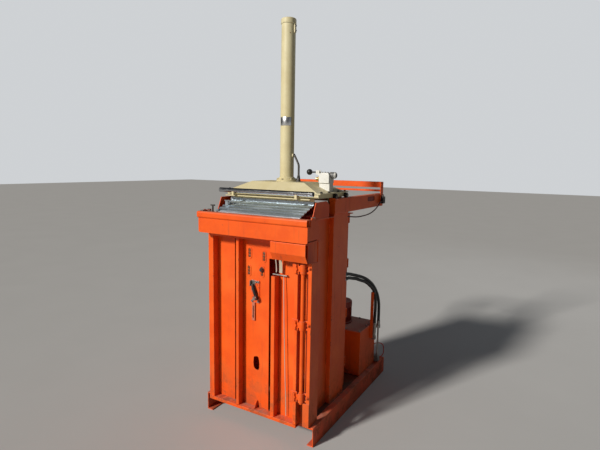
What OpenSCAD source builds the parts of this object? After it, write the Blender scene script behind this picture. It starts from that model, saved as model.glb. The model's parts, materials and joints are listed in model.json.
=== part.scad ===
// Vertical recycling baler: a top-loading press whose head rolls back on two arms.
// X runs to the right of the machine, Y to the back and Z up, in millimetres.
// Y values are measured from the front ends of the skids, and seat() moves the
// whole machine so that the origin lies under the middle of it, on the floor.

/* [Base] */
// Width over the two skids
base_w = 760; // [720:10:820]
// Length of the skids
base_len = 1110; // [1080:10:1200]
// Height of the skids
skid_h = 112; // [100:2:120]
// Width of the skid flanges
skid_flange = 40; // [30:1:45]
// Thickness of the skid walls
skid_t = 6; // [4:1:8]
// Thickness of the deck plate
deck_t = 6; // [4:1:10]

/* [Chamber] */
// Width inside the bale chamber
chamber_w = 590; // [560:2:600]
// Depth inside the bale chamber
chamber_d = 512; // [490:2:520]
// Thickness of the chamber walls
wall_t = 5; // [3:0.5:6]
// Height of the chamber's top edge above the floor
wall_top = 1250; // [1200:5:1300]
// Front edge of the chamber, behind the skid fronts
chamber_front = 44; // [42:1:50]
// Width of the post's web
post_len = 190; // [150:5:220]
// How far each post stands out from the wall
post_reach = 30; // [25:1:34]
// Front face of the posts
post_front = 290; // [280:5:300]

/* [Door] */
// Left edge of the door
door_left = 352; // [340:1:354]
// Right edge of the door
door_right = 272; // [262:1:274]
// Bottom of the door above the floor
door_bottom = 84; // [70:1:95]
// Depth of the door ribs in front of the sheet
rib_d = 48; // [36:1:50]
// Thickness of the door sheets
sheet_t = 4; // [3:0.5:5]
// Width of the strap slots beside the ribs
slot_w = 45; // [30:1:46]
// Diameter of the hinge bar
hinge_d = 22; // [18:1:24]
// Running clearance round the hinge bar
hinge_play = 0.05; // [0.02:0.01:0.09]

/* [Front beam] */
// Width of the front beam
beam_w = 730; // [720:2:740]
// Height of the front beam
beam_h = 85; // [70:1:95]
// How far the beam stands in front of the skids
beam_reach = 79; // [70:1:84]
// How far the lip stands in front of the beam
lip_nose = 9; // [5:1:14]

/* [Arms] */
// Rear end of the arms
arm_end = 1042; // [1036:2:1080]
// Height of the arms
arm_h = 88; // [80:1:92]
// Width of the arm flanges
arm_flange = 38; // [34:1:40]
// Thickness of the arm's walls
arm_t = 5; // [4:0.5:6]

/* [Head] */
// Distance that the head rolls back
head_travel = 540; // [535:1:542]
// Height of the hood's sloping part
hood_rise = 52; // [44:1:60]
// Thickness of the hood sheet
hood_t = 3; // [2:0.5:4]
// Diameter of the rollers
roller_d = 30; // [26:1:32]
// Diameter of the roller axles
axle_d = 12; // [10:1:14]
// Diameter of the pull bar
bar_d = 27; // [22:1:32]
// Length of the pull bar
bar_len = 636; // [600:2:644]

/* [Cylinder] */
// Outer diameter of the cylinder tube
tube_d = 83; // [75:1:95]
// Wall of the cylinder tube
tube_wall = 8; // [6:1:10]
// Top of the cylinder above the floor
cylinder_top = 2378; // [2300:2:2420]
// Diameter of the piston rod
rod_d = 45; // [36:1:50]

/* [Platen] */
// Gap between the platen and the chamber walls
platen_gap = 10; // [8:1:16]
// Stroke of the platen
platen_stroke = 600; // [500:5:605]
// Thickness of the platen plate
platen_t = 10; // [8:1:12]

/* [Power pack] */
// Width of the oil tank
tank_w = 405; // [360:5:420]
// Length of the oil tank
tank_len = 275; // [240:5:280]
// Height of the oil tank's body above the deck
tank_h = 314; // [260:2:330]
// Front face of the oil tank
tank_front = 710; // [690:5:720]
// Diameter of the electric motor
motor_d = 160; // [140:2:170]
// Diameter of the hydraulic hoses
hose_d = 21; // [18:1:22]

/* [Hidden] */
$fn = 48;

orange = [1.0, 0.39, 0.11];
cream = [0.85, 0.81, 0.64];
zinc = [0.70, 0.75, 0.80];
chrome = [0.86, 0.87, 0.88];
steel = [0.45, 0.45, 0.46];
white = [0.93, 0.93, 0.90];
black = [0.08, 0.08, 0.08];
maroon = [0.42, 0.12, 0.08];

// Overall places
lip_front = beam_reach + lip_nose;
mid_y = (base_len - lip_front) / 2;
half_base = base_w / 2;
deck_top = skid_h - skid_t;
deck_low = deck_top - deck_t;

// Chamber places
in_x = chamber_w / 2;
out_x = in_x + wall_t;
back_in = chamber_front + chamber_d;
back_out = back_in + wall_t;
center_y = chamber_front + chamber_d / 2;
back_top = wall_top - 5;
post_x = out_x + post_reach;
post_back = post_front + post_len;
ledge_t = 5;

// Arm places
arm_low = wall_top + 12;
arm_top = arm_low + arm_h;
arm_x = post_x + 5;
arm_in = arm_x - arm_flange;
stop_t = 6;

// Front beam places
beam_top = wall_top - 22;
beam_low = beam_top - beam_h;
half_beam = beam_w / 2;
beam_t = 5;

// Door places
door_top = beam_low - 5;
door_front = -10;
sheet_y = door_front + rib_d;
rail_h = 20;
rib_w = 20;
stile_w = 37;
rib_t = 4;
rib_left_x = -145;
rib_mid_x = 101;
rib_mid_top = 930;
window_top = 1014;
hinge_x = 305;
hinge_y = -10;
hinge_levels = [276, 686, 995];
knuckle_h = 30;
knuckle_d = 34;
lug_t = 10;
lug_play = 0.3;
jamb_x = 357;
jamb_t = 6;
jamb_depth = 95;

// Head places
tray_low = arm_top + 8;
tray_h = 24;
tray_top = tray_low + tray_h;
brim_t = 6;
hood_low = tray_top + brim_t;
hood_top = hood_low + hood_rise;
head_d = 350;
head_front = center_y - head_d / 2;
head_back = center_y + head_d / 2;
tray_x = arm_x - 21;
tray_t = 5;
inner_x = arm_in - 9;
brim_x = 328;
brim_out = 7;
roof_x = 305;
roof_flat_x = 182;
roof_flat_d = 210;
roller_w = 18;
roller_gap = 2;
roller_z = arm_top + roller_d / 2;
roller_front = post_front + 20;
roller_back = head_back - 20;
bar_y = 60;
bar_z = arm_top + 36;
skirt_low = arm_top - 28;

// Cylinder places
flange_t = 12;
tube_low = hood_top + 24;
gland_d = 66;

// Platen places
platen_low = wall_top + 6;
platen_x = in_x - platen_gap;
platen_front = chamber_front + platen_gap;
platen_back = back_in - platen_gap;

// Power pack places
tank_right = 345;
tank_left = tank_right - tank_w;
tank_back = tank_front + tank_len;
tank_top = deck_top + tank_h;
lid_t = 6;
motor_x = 130;
motor_y = 850;

// Cord routes, from the moving end's exit to the far end
hose_out_route = [[314, 496, 860], [314, 530, 860], [312, 570, 853], [313, 620, 839],
    [322, 670, 824], [335, 722, 806], [348, 775, 782], [357, 832, 748], [360, 885, 710],
    [361, 935, 664], [361, 976, 612], [361, 1000, 556], [360, 1009, 500], [360, 1010, 450],
    [360, 1010, 424]];
hose_in_route = [[314, 496, 832], [314, 528, 832], [312, 568, 828], [313, 614, 816],
    [321, 662, 804], [334, 711, 785], [347, 763, 764], [356, 819, 730], [360, 871, 693],
    [360.5, 911, 652], [360.5, 930, 606], [360.5, 936, 560], [360, 936, 500], [359, 934, 450],
    [359, 934, 430]];
switch_route = [[351, 995, 1296], [351, 982, 1296], [350.5, 963, 1286], [350, 938, 1270],
    [349, 905, 1254], [348, 860, 1239], [347, 805, 1228], [345, 745, 1222], [343, 685, 1220],
    [341, 625, 1220], [338, 573, 1223], [333, 535, 1227], [327, 509, 1230.5], [322, 494, 1232],
    [322, 480.2, 1232]];
red_route = [[332, 985.2, 240], [332, 1004, 240], [341, 1030, 240], [356, 1056, 236],
    [368, 1078, 226], [374, 1093, 208], [376, 1102, 184], [376, 1104.5, 160], [374, 1101, 140],
    [366, 1092, 124], [354, 1080, 118], [342, 1069, 117], [330, 1058, 113], [318, 1044, 110],
    [309, 1026, 109.8], [304, 1006, 109.8], [303, 985.2, 110.5]];
tail_route = [[163, 22, 929.8], [165, 22, 900], [166.5, 20, 870], [168, 18, 830],
    [170, 17, 780], [171.5, 17, 720], [173, 17, 660], [175, 17, 600], [177, 17, 540],
    [179, 17, 480], [181, 17.5, 420], [183, 18, 360], [185, 19, 300], [187, 20.5, 240],
    [188, 22, 180], [189, 23, 118]];

// Moves a piece from the skid-front measure to the middle of the machine
module seat() translate([0, -mid_y, 0]) children();

// A block given by its limits along each axis
module block(x, y, z) {
    translate([x[0], y[0], z[0]]) cube([x[1] - x[0], y[1] - y[0], z[1] - z[0]]);
}

// Draws its children and their mirror image across the machine
module both_sides() {
    children();
    mirror([1, 0, 0]) children();
}

// Round bars along the three axes, starting at a point
module bar_x(p, d, len) translate(p) rotate([0, 90, 0]) cylinder(d = d, h = len);
module bar_y(p, d, len) translate(p) rotate([-90, 0, 0]) cylinder(d = d, h = len);
module bar_z(p, d, len) translate(p) cylinder(d = d, h = len);

// Extrudes a profile drawn in Y and Z from x0 to x1
module along_x(x0, x1) {
    translate([x0, 0, 0]) rotate([90, 0, 90]) linear_extrude(x1 - x0) children();
}

// Extrudes a profile drawn in X and Z from y0 to y1
module along_y(y0, y1) {
    translate([0, y1, 0]) rotate([90, 0, 0]) linear_extrude(y1 - y0) children();
}

// Extrudes a profile drawn in X and Y from z0 to z1
module along_z(z0, z1) translate([0, 0, z0]) linear_extrude(z1 - z0) children();

// A polygon of even height t under a folded line
function under(path, t) = concat(path,
    [for (i = [len(path) - 1 : -1 : 0]) [path[i][0], path[i][1] - t]]);

// A hexagon bolt head with its flats set round an axis along -Y
module hex_head(p, flats, h) {
    translate(p) rotate([90, 0, 0]) cylinder(d = flats / cos(30), h = h, $fn = 6);
}

// Rings of a tube that follows a route, and the tube itself
function unit(v) = v / norm(v);
function heading(path, i) = unit(
    i == 0 ? path[1] - path[0]
    : i == len(path) - 1 ? path[i] - path[i - 1]
    : unit(path[i + 1] - path[i]) + unit(path[i] - path[i - 1]));
function ring(p, t, side, r, n) = let (
    u = unit(side - (side * t) * t), v = cross(t, u))
    [for (k = [0 : n - 1]) p + r * (cos(360 * k / n) * u + sin(360 * k / n) * v)];
module tube_along(path, d, side, n) {
    last = len(path) - 1;
    points = [for (i = [0 : last]) each ring(path[i], heading(path, i), side, d / 2, n)];
    walls = [for (i = [0 : last - 1], k = [0 : n - 1])
        [i * n + k, (i + 1) * n + k, (i + 1) * n + (k + 1) % n, i * n + (k + 1) % n]];
    first_end = [for (k = [0 : n - 1]) k];
    last_end = [for (k = [n - 1 : -1 : 0]) last * n + k];
    polyhedron(points = points, faces = concat([first_end], walls, [last_end]), convexity = 4);
}

// Base

module skid_profile(flange) {
    polygon([[half_base, 0], [half_base, skid_h], [half_base - flange, skid_h],
        [half_base - flange, deck_top], [half_base - skid_t, deck_top],
        [half_base - skid_t, skid_t], [half_base - flange, skid_t], [half_base - flange, 0]]);
}

module skid_right() {
    color(orange) seat() along_y(0, base_len) skid_profile(skid_flange);
}

// The left top flange is cut back where the door's edge swings past it
module skid_left() {
    cope = 10;
    color(orange) seat() mirror([1, 0, 0]) difference() {
        along_y(0, base_len) skid_profile(skid_flange);
        block([0, door_left + 6], [-1, chamber_front + cope], [deck_top - 1, skid_h + 1]);
    }
}

module deck_plate() {
    color(orange) seat() block([-half_base + skid_t, half_base - skid_t],
        [chamber_front, base_len], [deck_low, deck_top]);
}

module crossbars() {
    bar_h = 40;
    wide = 50;
    color(orange) seat()
        for (y = [chamber_front + 14, back_in, base_len - wide])
            along_x(-half_base + skid_t, half_base - skid_t)
                difference() {
                    translate([y, deck_low - bar_h]) square([wide, bar_h]);
                    translate([y + 4, deck_low - bar_h - 1]) square([wide - 8, bar_h - 3]);
                }
}

// Chamber

module side_wall() {
    block([in_x, out_x], [chamber_front, back_out], [deck_top, wall_top]);
    for (y = [[chamber_front, post_front], [post_back, back_out]])
        block([out_x, post_x], y, [wall_top - ledge_t, wall_top]);
}

module wall_right() color(orange) seat() side_wall();
module wall_left() color(orange) seat() mirror([1, 0, 0]) side_wall();

module wall_back() {
    rib_levels = [230, 560, 890, 1180];
    color(orange) seat() {
        block([-in_x, in_x], [back_in, back_out], [deck_top, back_top]);
        for (z = rib_levels)
            along_x(-in_x, in_x) difference() {
                translate([back_out, z]) square([30, 60]);
                translate([back_out - 1, z + 4]) square([27, 52]);
            }
    }
}

module jamb_left() {
    color(orange) seat() mirror([1, 0, 0]) along_z(deck_top + skid_t, beam_low) {
        translate([out_x, chamber_front]) square([50, jamb_t]);
        translate([out_x + 50 - jamb_t, chamber_front]) square([jamb_t, 42]);
    }
}

// The angle beside the hinge bar, with its foot plate and the ties to the wall.
// Above the bar its front is cut away, because the strap cover's end swings through there.
module jamb_right() {
    strip = 21;
    tie_y = 60;
    clear_y = 55;
    color(orange) seat() {
        difference() {
            along_z(skid_h, beam_low) {
                translate([jamb_x - strip, door_front]) square([strip, jamb_t]);
                translate([jamb_x - jamb_t, door_front]) square([jamb_t, jamb_depth]);
            }
            block([jamb_x - strip - 1, jamb_x + 1], [door_front - 1, clear_y],
                [hinge_levels[2] + 35, beam_low + 1]);
        }
        block([jamb_x - 40, jamb_x], [door_front - 4, door_front], [skid_h, 248]);
        for (z = hinge_levels)
            block([out_x, jamb_x - jamb_t], [tie_y, door_front + jamb_depth],
                [z - lug_t / 2, z + lug_t / 2]);
    }
}

module hinge_bar() {
    color(orange) seat()
        bar_z([hinge_x, hinge_y, hinge_levels[0] - 36], hinge_d,
            hinge_levels[2] - hinge_levels[0] + 71);
}

// Two lugs at each hinge hold the bar, one below and one above the door's knuckle
module frame_lugs() {
    reach = jamb_x - jamb_t - hinge_x;
    arm_y = jamb_t + lug_play;
    color(orange) seat()
        for (z = hinge_levels, side = [-1, 1])
            translate([hinge_x, hinge_y, z + side * (knuckle_h / 2 + lug_play + lug_t / 2)]) {
                difference() {
                    union() {
                        cylinder(d = knuckle_d, h = lug_t, center = true);
                        translate([0, arm_y, -lug_t / 2]) cube([reach, knuckle_d / 2, lug_t]);
                    }
                    cylinder(d = hinge_d, h = lug_t + 2, center = true);
                }
            }
}

// The beam over the door: a folded box with a rounded front plate
module front_beam() {
    corner = 12;
    end_t = 5;
    color(orange) seat() {
        along_x(-half_beam + end_t, half_beam - end_t) difference() {
            translate([-beam_reach + beam_t, beam_low]) square([beam_reach - beam_t + chamber_front, beam_h]);
            translate([-beam_reach + 2 * beam_t, beam_low + beam_t])
                square([beam_reach - 3 * beam_t + chamber_front, beam_h - 2 * beam_t]);
        }
        along_y(-beam_reach, -beam_reach + beam_t) {
            translate([-half_beam, beam_low + corner]) square([beam_w, beam_h - corner]);
            hull() for (x = [-1, 1])
                translate([x * (half_beam - corner), beam_low + corner]) circle(corner);
        }
        both_sides()
            block([half_beam - end_t, half_beam], [-beam_reach + beam_t, chamber_front],
                [beam_low + corner, beam_top]);
        block([-in_x, in_x], [chamber_front - beam_t, chamber_front], [beam_top, wall_top]);
    }
}

pin_x = -280;
pin_y = -50;
lock_d = 10;
// The rounded nose, the sloping feed plate behind it and the raised rims at its ends
module infeed_lip() {
    nose_h = 38;
    nose_top = beam_top + nose_h;
    plate_t = 4;
    rim_t = 4;
    color(orange) seat() difference() {
        union() {
            along_x(-half_beam - 4, half_beam) difference() {
                union() {
                    translate([-lip_front + 10, beam_top]) square([18, nose_h]);
                    translate([-lip_front + 10, beam_top + 10]) circle(10);
                    translate([-lip_front, beam_top + 10]) square([10, nose_h - 20]);
                    translate([-lip_front + 10, nose_top - 10]) circle(10);
                    polygon(under([[-lip_front + 26, nose_top], [chamber_front, wall_top + 4]], plate_t));
                }
                translate([-lip_front + 4, beam_top + 4]) square([20, nose_h - 8]);
            }
            both_sides() along_x(half_beam - rim_t, half_beam)
                hull() {
                    translate([-lip_front + 40, beam_top]) square([chamber_front + 40, nose_h - 14]);
                    translate([-lip_front + 60, nose_top + 2]) circle(6);
                    translate([chamber_front - 30, beam_top + 12]) square([20, 10]);
                }
            for (x = [-1, 1])
                translate([x * (half_beam - 14), 0, wall_top + 2]) {
                    cylinder(d = 10, h = 10);
                    translate([0, 0, 10]) cylinder(d = 20 / cos(30), h = 8, $fn = 6);
                }
        }
        bar_z([pin_x, pin_y, beam_top + 10], lock_d + 0.1, 60);
    }
}

module cheeks() {
    cheek_t = 5;
    cheek_x = post_x - 8;
    color(orange) seat() both_sides() along_x(cheek_x, cheek_x + cheek_t)
        polygon([[chamber_front, wall_top], [chamber_front, wall_top + 15],
            [chamber_front + 33, wall_top + 92], [chamber_front + 156, wall_top + 94],
            [chamber_front + 190, wall_top + 70], [chamber_front + 190, wall_top]]);
}

module post() {
    web_t = 5;
    along_z(deck_top, arm_low) difference() {
        translate([out_x, post_front]) square([post_reach, post_len]);
        translate([out_x - 1, post_front + web_t])
            square([post_reach - web_t + 1, post_len - 2 * web_t]);
    }
}

module post_right() color(orange) seat() post();
module post_left() color(orange) seat() mirror([1, 0, 0]) post();

// A channel with its flanges turned in, a closed front end and a stop for the rollers
module arm() {
    window_y = 845;
    window_len = 100;
    window_d = 30;
    window_z = arm_top - 28;
    difference() {
        block([arm_in, arm_x], [post_front, arm_end], [arm_low, arm_top]);
        block([arm_in - 1, arm_x - arm_t], [post_front + arm_t, arm_end + 1],
            [arm_low + arm_t, arm_top - arm_t]);
        for (y = [-1, 1])
            bar_x([arm_x - arm_t - 1, window_y + y * window_len / 2, window_z], window_d, arm_t + 2);
        block([arm_x - arm_t - 1, arm_x + 1],
            [window_y - window_len / 2, window_y + window_len / 2],
            [window_z - window_d / 2, window_z + window_d / 2]);
    }
    block([arm_in, arm_x + 6], [post_front - stop_t, post_front], [arm_top - 16, arm_top + 5]);
}

module arm_right() color(orange) seat() arm();
module arm_left() color(orange) seat() mirror([1, 0, 0]) arm();

// The end plates of the arms and the two bars across them
module rear_frame() {
    plate_t = 6;
    plate_y = [arm_end - 37, arm_end + 8];
    top = arm_top + 82;
    tube = [32, 40];
    tube_t = 3;
    color(orange) seat() {
        both_sides() block([arm_x, arm_x + plate_t], plate_y, [arm_low, top]);
        along_x(-arm_x, arm_x) difference() {
            translate([plate_y[1] - tube[0], top - tube[1]]) square(tube);
            translate([plate_y[1] - tube[0] + tube_t, top - tube[1] + tube_t])
                square([tube[0] - 2 * tube_t, tube[1] - 2 * tube_t]);
        }
        block([-arm_x, arm_x], [plate_y[1] - 15, plate_y[1] - 3], [arm_top + 12, arm_top + 26]);
    }
}

module limit_switch() {
    x0 = arm_x + 6;
    color(black) seat() {
        block([x0, x0 + 20], [arm_end - 35, arm_end + 3], [arm_low + 18, arm_low + 66]);
        bar_y([x0 + 10, arm_end - 47, arm_low + 34], 14, 12);
        bar_y([x0 + 10, arm_end + 3, arm_low + 50], 12, 10);
    }
}

// Power pack

// The tank rests on the right skid's flange and on two packing strips of the same height
module tank() {
    plate = 4;
    color(orange) seat() {
        difference() {
            block([tank_left, tank_right], [tank_front, tank_back], [skid_h, tank_top]);
            block([tank_left + plate, tank_right - plate], [tank_front + plate, tank_back - plate],
                [skid_h + plate, tank_top + 1]);
        }
        for (y = [tank_front + 20, tank_back - 60])
            block([tank_left + 12, half_base - skid_flange - 2], [y, y + 40], [deck_top, skid_h]);
    }
}

module tank_lid() {
    color(orange) seat() {
        block([tank_left - 3, tank_right], [tank_front - 3, tank_back + 3], [tank_top, tank_top + lid_t]);
    }
}

// A flange-mounted motor with cooling fins, a fan cowl and a terminal box
module motor() {
    foot = tank_top + lid_t;
    body_h = 118;
    cowl_h = 42;
    fins = 24;
    color(maroon) seat() translate([motor_x, motor_y, foot]) {
        cylinder(d = motor_d + 10, h = 10);
        translate([0, 0, 10]) cylinder(d = motor_d - 18, h = body_h - 8);
        for (k = [0 : fins - 1])
            rotate([0, 0, 360 * k / fins])
                translate([motor_d / 2 - 10, -1.5, 14]) cube([8, 3, body_h - 18]);
        translate([0, 0, body_h]) cylinder(d = motor_d, h = cowl_h - 8);
        translate([0, 0, body_h + cowl_h - 8])
            cylinder(d1 = motor_d, d2 = motor_d - 16, h = 8);
        translate([-motor_d / 2 - 26, -38, 40]) cube([40, 76, 62]);
    }
}

module filler_cap() {
    color(black) seat() translate([tank_left + 90, tank_back - 60, tank_top + lid_t]) {
        cylinder(d = 46, h = 14);
        translate([0, 0, 14]) cylinder(d = 60, h = 22, $fn = 16);
        translate([0, 0, 36]) cylinder(d1 = 52, d2 = 30, h = 6);
    }
}

module hose_stand() {
    leg_t = 4;
    color(orange) seat() {
        block([tank_right, tank_right + leg_t], [885, 907], [330, 664]);
        block([tank_right, tank_right + 22], [881, 885], [330, 664]);
    }
}

// Ferrules and nuts at both ends of the hoses, the return pipe and its port block
module hose_fittings() {
    ferrule_d = hose_d + 5;
    out_end = hose_out_route[len(hose_out_route) - 1];
    in_end = hose_in_route[len(hose_in_route) - 1];
    color(zinc) seat() {
        for (end = [hose_out_route[0], hose_in_route[0]])
            bar_y([end[0], post_back, end[2]], ferrule_d, end[1] - post_back);
        bar_z([in_end[0], in_end[1], in_end[2] - 80], ferrule_d, 80);
        bar_z([in_end[0], in_end[1], in_end[2] - 98], 20, 18);
        block([tank_right, in_end[0] + 12], [in_end[1] - 12, in_end[1] + 12],
            [in_end[2] - 122, in_end[2] - 98]);
        bar_z([out_end[0], out_end[1], out_end[2] - 32], ferrule_d, 32);
        bar_z([out_end[0], out_end[1], out_end[2] - 54], 32, 22, $fn = 6);
        bar_z([out_end[0], out_end[1], 160], 13, out_end[2] - 214);
        block([tank_right - 30, out_end[0] + 14], [tank_back, out_end[1] + 14], [120, 160]);
    }
}

module hose_pressure() {
    color(black) seat() tube_along(hose_out_route, hose_d, [1, 0, 0], 10);
}

module hose_return() {
    color(black) seat() tube_along(hose_in_route, hose_d, [1, 0, 0], 10);
}

module switch_cable() {
    color(black) seat() tube_along(switch_route, 8, [1, 0, 0], 8);
}

module red_cable() {
    color("firebrick") seat() tube_along(red_route, 7, [1, -1, 2], 8);
}

// Door

// A rib folded from sheet, open at the back
module rib(x0, w, z0, z1) {
    along_z(z0, z1) translate([x0, door_front]) difference() {
        square([w, rib_d]);
        translate([rib_t, rib_t]) square([w - 2 * rib_t, rib_d]);
    }
}

module door_frame() {
    low = door_bottom + rail_h;
    high = door_top - rail_h;
    tab_x = -22;
    color(orange) seat() {
        rib(-door_left, stile_w, low, high);
        rib(rib_left_x, rib_w, low, high);
        rib(rib_mid_x, rib_w + 4, low, rib_mid_top);
        rib(door_right - rib_w, rib_w, low, high);
        for (z = [door_bottom, high])
            along_x(-door_left, door_right) difference() {
                translate([door_front, z]) square([rib_d, rail_h]);
                translate([door_front + rib_t, z + rib_t]) square([rib_d, rail_h - 2 * rib_t]);
            }
        along_x(tab_x, tab_x + 4)
            polygon([[door_front + 10, low], [sheet_y, low], [sheet_y, low + 40],
                [sheet_y - 12, low + 40]]);
    }
}

module door_sheet(x0, x1) {
    block([x0, x1], [sheet_y, sheet_y + sheet_t], [door_bottom + 4, door_top - 4]);
}

// A long round-ended outline, r wide each way
module pad(r) {
    for (s = [-1, 1]) translate([0, s * 20]) circle(r);
    translate([-r, -20]) square([2 * r, 40]);
}

module door_panel_left() {
    color(orange) seat() door_sheet(-door_left + 6, rib_left_x - slot_w);
}

// The middle sheet with its D-shaped sight hole and the four welded fixing pads
module door_panel_mid() {
    left = rib_left_x;
    right = rib_mid_x - slot_w;
    hole_x = -31;
    hole_z = 374;
    pads = [[-80, 1033], [21, 1022], [-85, 929], [8, 932]];
    color(orange) seat() {
        difference() {
            union() {
                door_sheet(left, right);
                block([right, rib_mid_x + rib_w + 4], [sheet_y, sheet_y + sheet_t],
                    [window_top, door_top - 4]);
            }
            along_y(sheet_y - 1, sheet_y + sheet_t + 1) translate([hole_x, hole_z])
                polygon([[-19, 32], [-14, 39], [6, 44], [14, 40], [19, 25], [22, 0], [21, -25],
                    [16, -38], [6, -42], [-8, -38], [-19, -24], [-22, 0]]);
        }
        for (p = pads)
            along_y(sheet_y - 3, sheet_y) translate(p) difference() {
                pad(15);
                pad(9);
            }
        hex_head([pads[3][0], sheet_y, pads[3][1] + 12], 18, 14);
    }
}

module door_panel_right() {
    color(orange) seat() door_sheet(rib_mid_x + rib_w + 4, hinge_x - 15);
}

// Three hinge leaves bolted to the door, each with a knuckle round the bar
module door_leaves() {
    leaf_t = 6;
    leaf_h = 60;
    leaf_x = 243;
    leaf_end = hinge_x - knuckle_d / 2 - 7;
    color(orange) seat()
        for (z = hinge_levels) {
            difference() {
                union() {
                    bar_z([hinge_x, hinge_y, z - knuckle_h / 2], knuckle_d, knuckle_h);
                    block([leaf_end, hinge_x], [door_front - leaf_t, door_front],
                        [z - knuckle_h / 2, z + knuckle_h / 2]);
                    block([leaf_x, leaf_end], [door_front - leaf_t, door_front],
                        [z - leaf_h / 2, z + leaf_h / 2]);
                }
                bar_z([hinge_x, hinge_y, z - knuckle_h], hinge_d + 2 * hinge_play, 2 * knuckle_h);
            }
            hex_head([leaf_x + 20, door_front - leaf_t, z], 24, 10);
        }
}

// The folded cover over the strap reels, with its left cheek and the spindle bracket
reel_y = -14;
reel_z = door_top - 64;
reel_d = 84;
spindle_d = 16;
cover_x = [137, 352];
module strap_cover() {
    front = -beam_reach + 4;
    fold_z = door_top - 60;
    low = door_top - 102;
    gauge = 4;
    bracket_x = door_right - rib_w - 8;
    color(orange) seat() {
        along_x(cover_x[0], cover_x[1]) polygon([
            [door_front - 2, door_top], [front + 2, door_top], [front, door_top - 3],
            [front, fold_z], [front + 25, low], [front + 29, low], [front + gauge, fold_z],
            [front + gauge, door_top - gauge], [door_front - 2, door_top - gauge]]);
        difference() {
            along_x(cover_x[0], cover_x[0] + gauge) polygon([
                [sheet_y, door_top - rail_h], [door_front, door_top - rail_h],
                [door_front, door_top - gauge], [front + gauge, door_top - gauge],
                [front + gauge, fold_z], [front + 29, low], [sheet_y, low]]);
            bar_x([cover_x[0] - 1, reel_y, reel_z], spindle_d, gauge + 2);
        }
        block([cover_x[0] + gauge, door_right], [door_front - gauge, door_front],
            [door_top - 14, door_top - 1]);
        difference() {
            block([bracket_x, bracket_x + 6], [reel_y - 18, sheet_y],
                [reel_z - 18, reel_z + 18]);
            bar_x([bracket_x - 1, reel_y, reel_z], spindle_d, 8);
        }
    }
}

module reel_spindle() {
    color(steel) seat()
        bar_x([cover_x[0] - 6, reel_y, reel_z], spindle_d, door_right - rib_w - cover_x[0] + 6);
}

// A reel of strapping: two side discs, a hub and the wound band
module strap_reel(x0) {
    wide = 44;
    disc_t = 3;
    bore = spindle_d + 0.1;
    translate([x0, reel_y, reel_z]) rotate([90, 0, 90]) difference() {
        rotate_extrude() polygon([[0, 0], [reel_d / 2, 0], [reel_d / 2, disc_t],
            [reel_d / 2 - 9, disc_t], [reel_d / 2 - 7, disc_t + 3],
            [reel_d / 2 - 7, wide - disc_t - 3], [reel_d / 2 - 9, wide - disc_t],
            [reel_d / 2, wide - disc_t], [reel_d / 2, wide], [0, wide]]);
        translate([0, 0, -1]) cylinder(d = bore, h = wide + 2);
        for (z = [-1, wide - disc_t - 1], k = [0 : 5])
            rotate([0, 0, 60 * k]) translate([reel_d / 2 - 20, 0, z]) cylinder(d = 14, h = disc_t + 2);
    }
}

module strap_reel_left() color(black) seat() strap_reel(cover_x[0] + 8);
module strap_reel_right() color(black) seat() strap_reel(cover_x[0] + 58);

// The wire rail that the strapping is drawn over
module strap_guide() {
    wire = 8;
    color(zinc) seat() {
        bar_x([98, 22, rib_mid_top + wire / 2], wire, 86);
        bar_y([180, 22, rib_mid_top + wire / 2], wire, sheet_y - 22);
    }
}

module strap_tail() {
    color(white) seat() tube_along(tail_route, 5, [1, 0, 0], 8);
}

latch_x = -22;
latch_z = 778;
pin_d = 12;
// The latch's base plate, its pivot pin, the rest for the grip and the slotted bar
module latch_plate() {
    plate_t = 5;
    front = sheet_y - plate_t;
    color(zinc) seat() {
        block([-66, -8], [front, sheet_y], [744, 876]);
        bar_y([latch_x, front - 22, latch_z], pin_d, 22);
        bar_y([latch_x, front - 28, latch_z], 20, 6);
        block([-66, -61], [front - 18, front], [842, 874]);
        block([-66, -34], [front - 3, front], [842, 874]);
        difference() {
            block([-58, -38], [front - 4, front], [636, 744]);
            block([-51, -45], [front - 5, front + 1], [650, 724]);
        }
        block([-58, -38], [front, sheet_y], [730, 744]);
        block([-58, -38], [front, sheet_y], [636, 646]);
    }
}

// The lever turns on the pin, and its tapered grip points up at rest
module latch_lever() {
    lever_t = 10;
    tilt = -20;
    y0 = sheet_y - 5 - lever_t - 8;
    color(black) seat() translate([latch_x, y0, latch_z]) rotate([-90, 0, 0]) difference() {
        union() {
            cylinder(d = 26, h = lever_t);
            rotate([0, 0, tilt]) translate([-8, -36, 1]) cube([16, 36, lever_t - 2]);
            rotate([0, 0, tilt]) translate([0, -82, lever_t / 2]) rotate([-90, 0, 0])
                cylinder(d1 = 18.6, d2 = 14, h = 62);
        }
        translate([0, 0, -1]) cylinder(d = pin_d + 0.1, h = lever_t + 2);
    }
}

// Head

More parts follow.
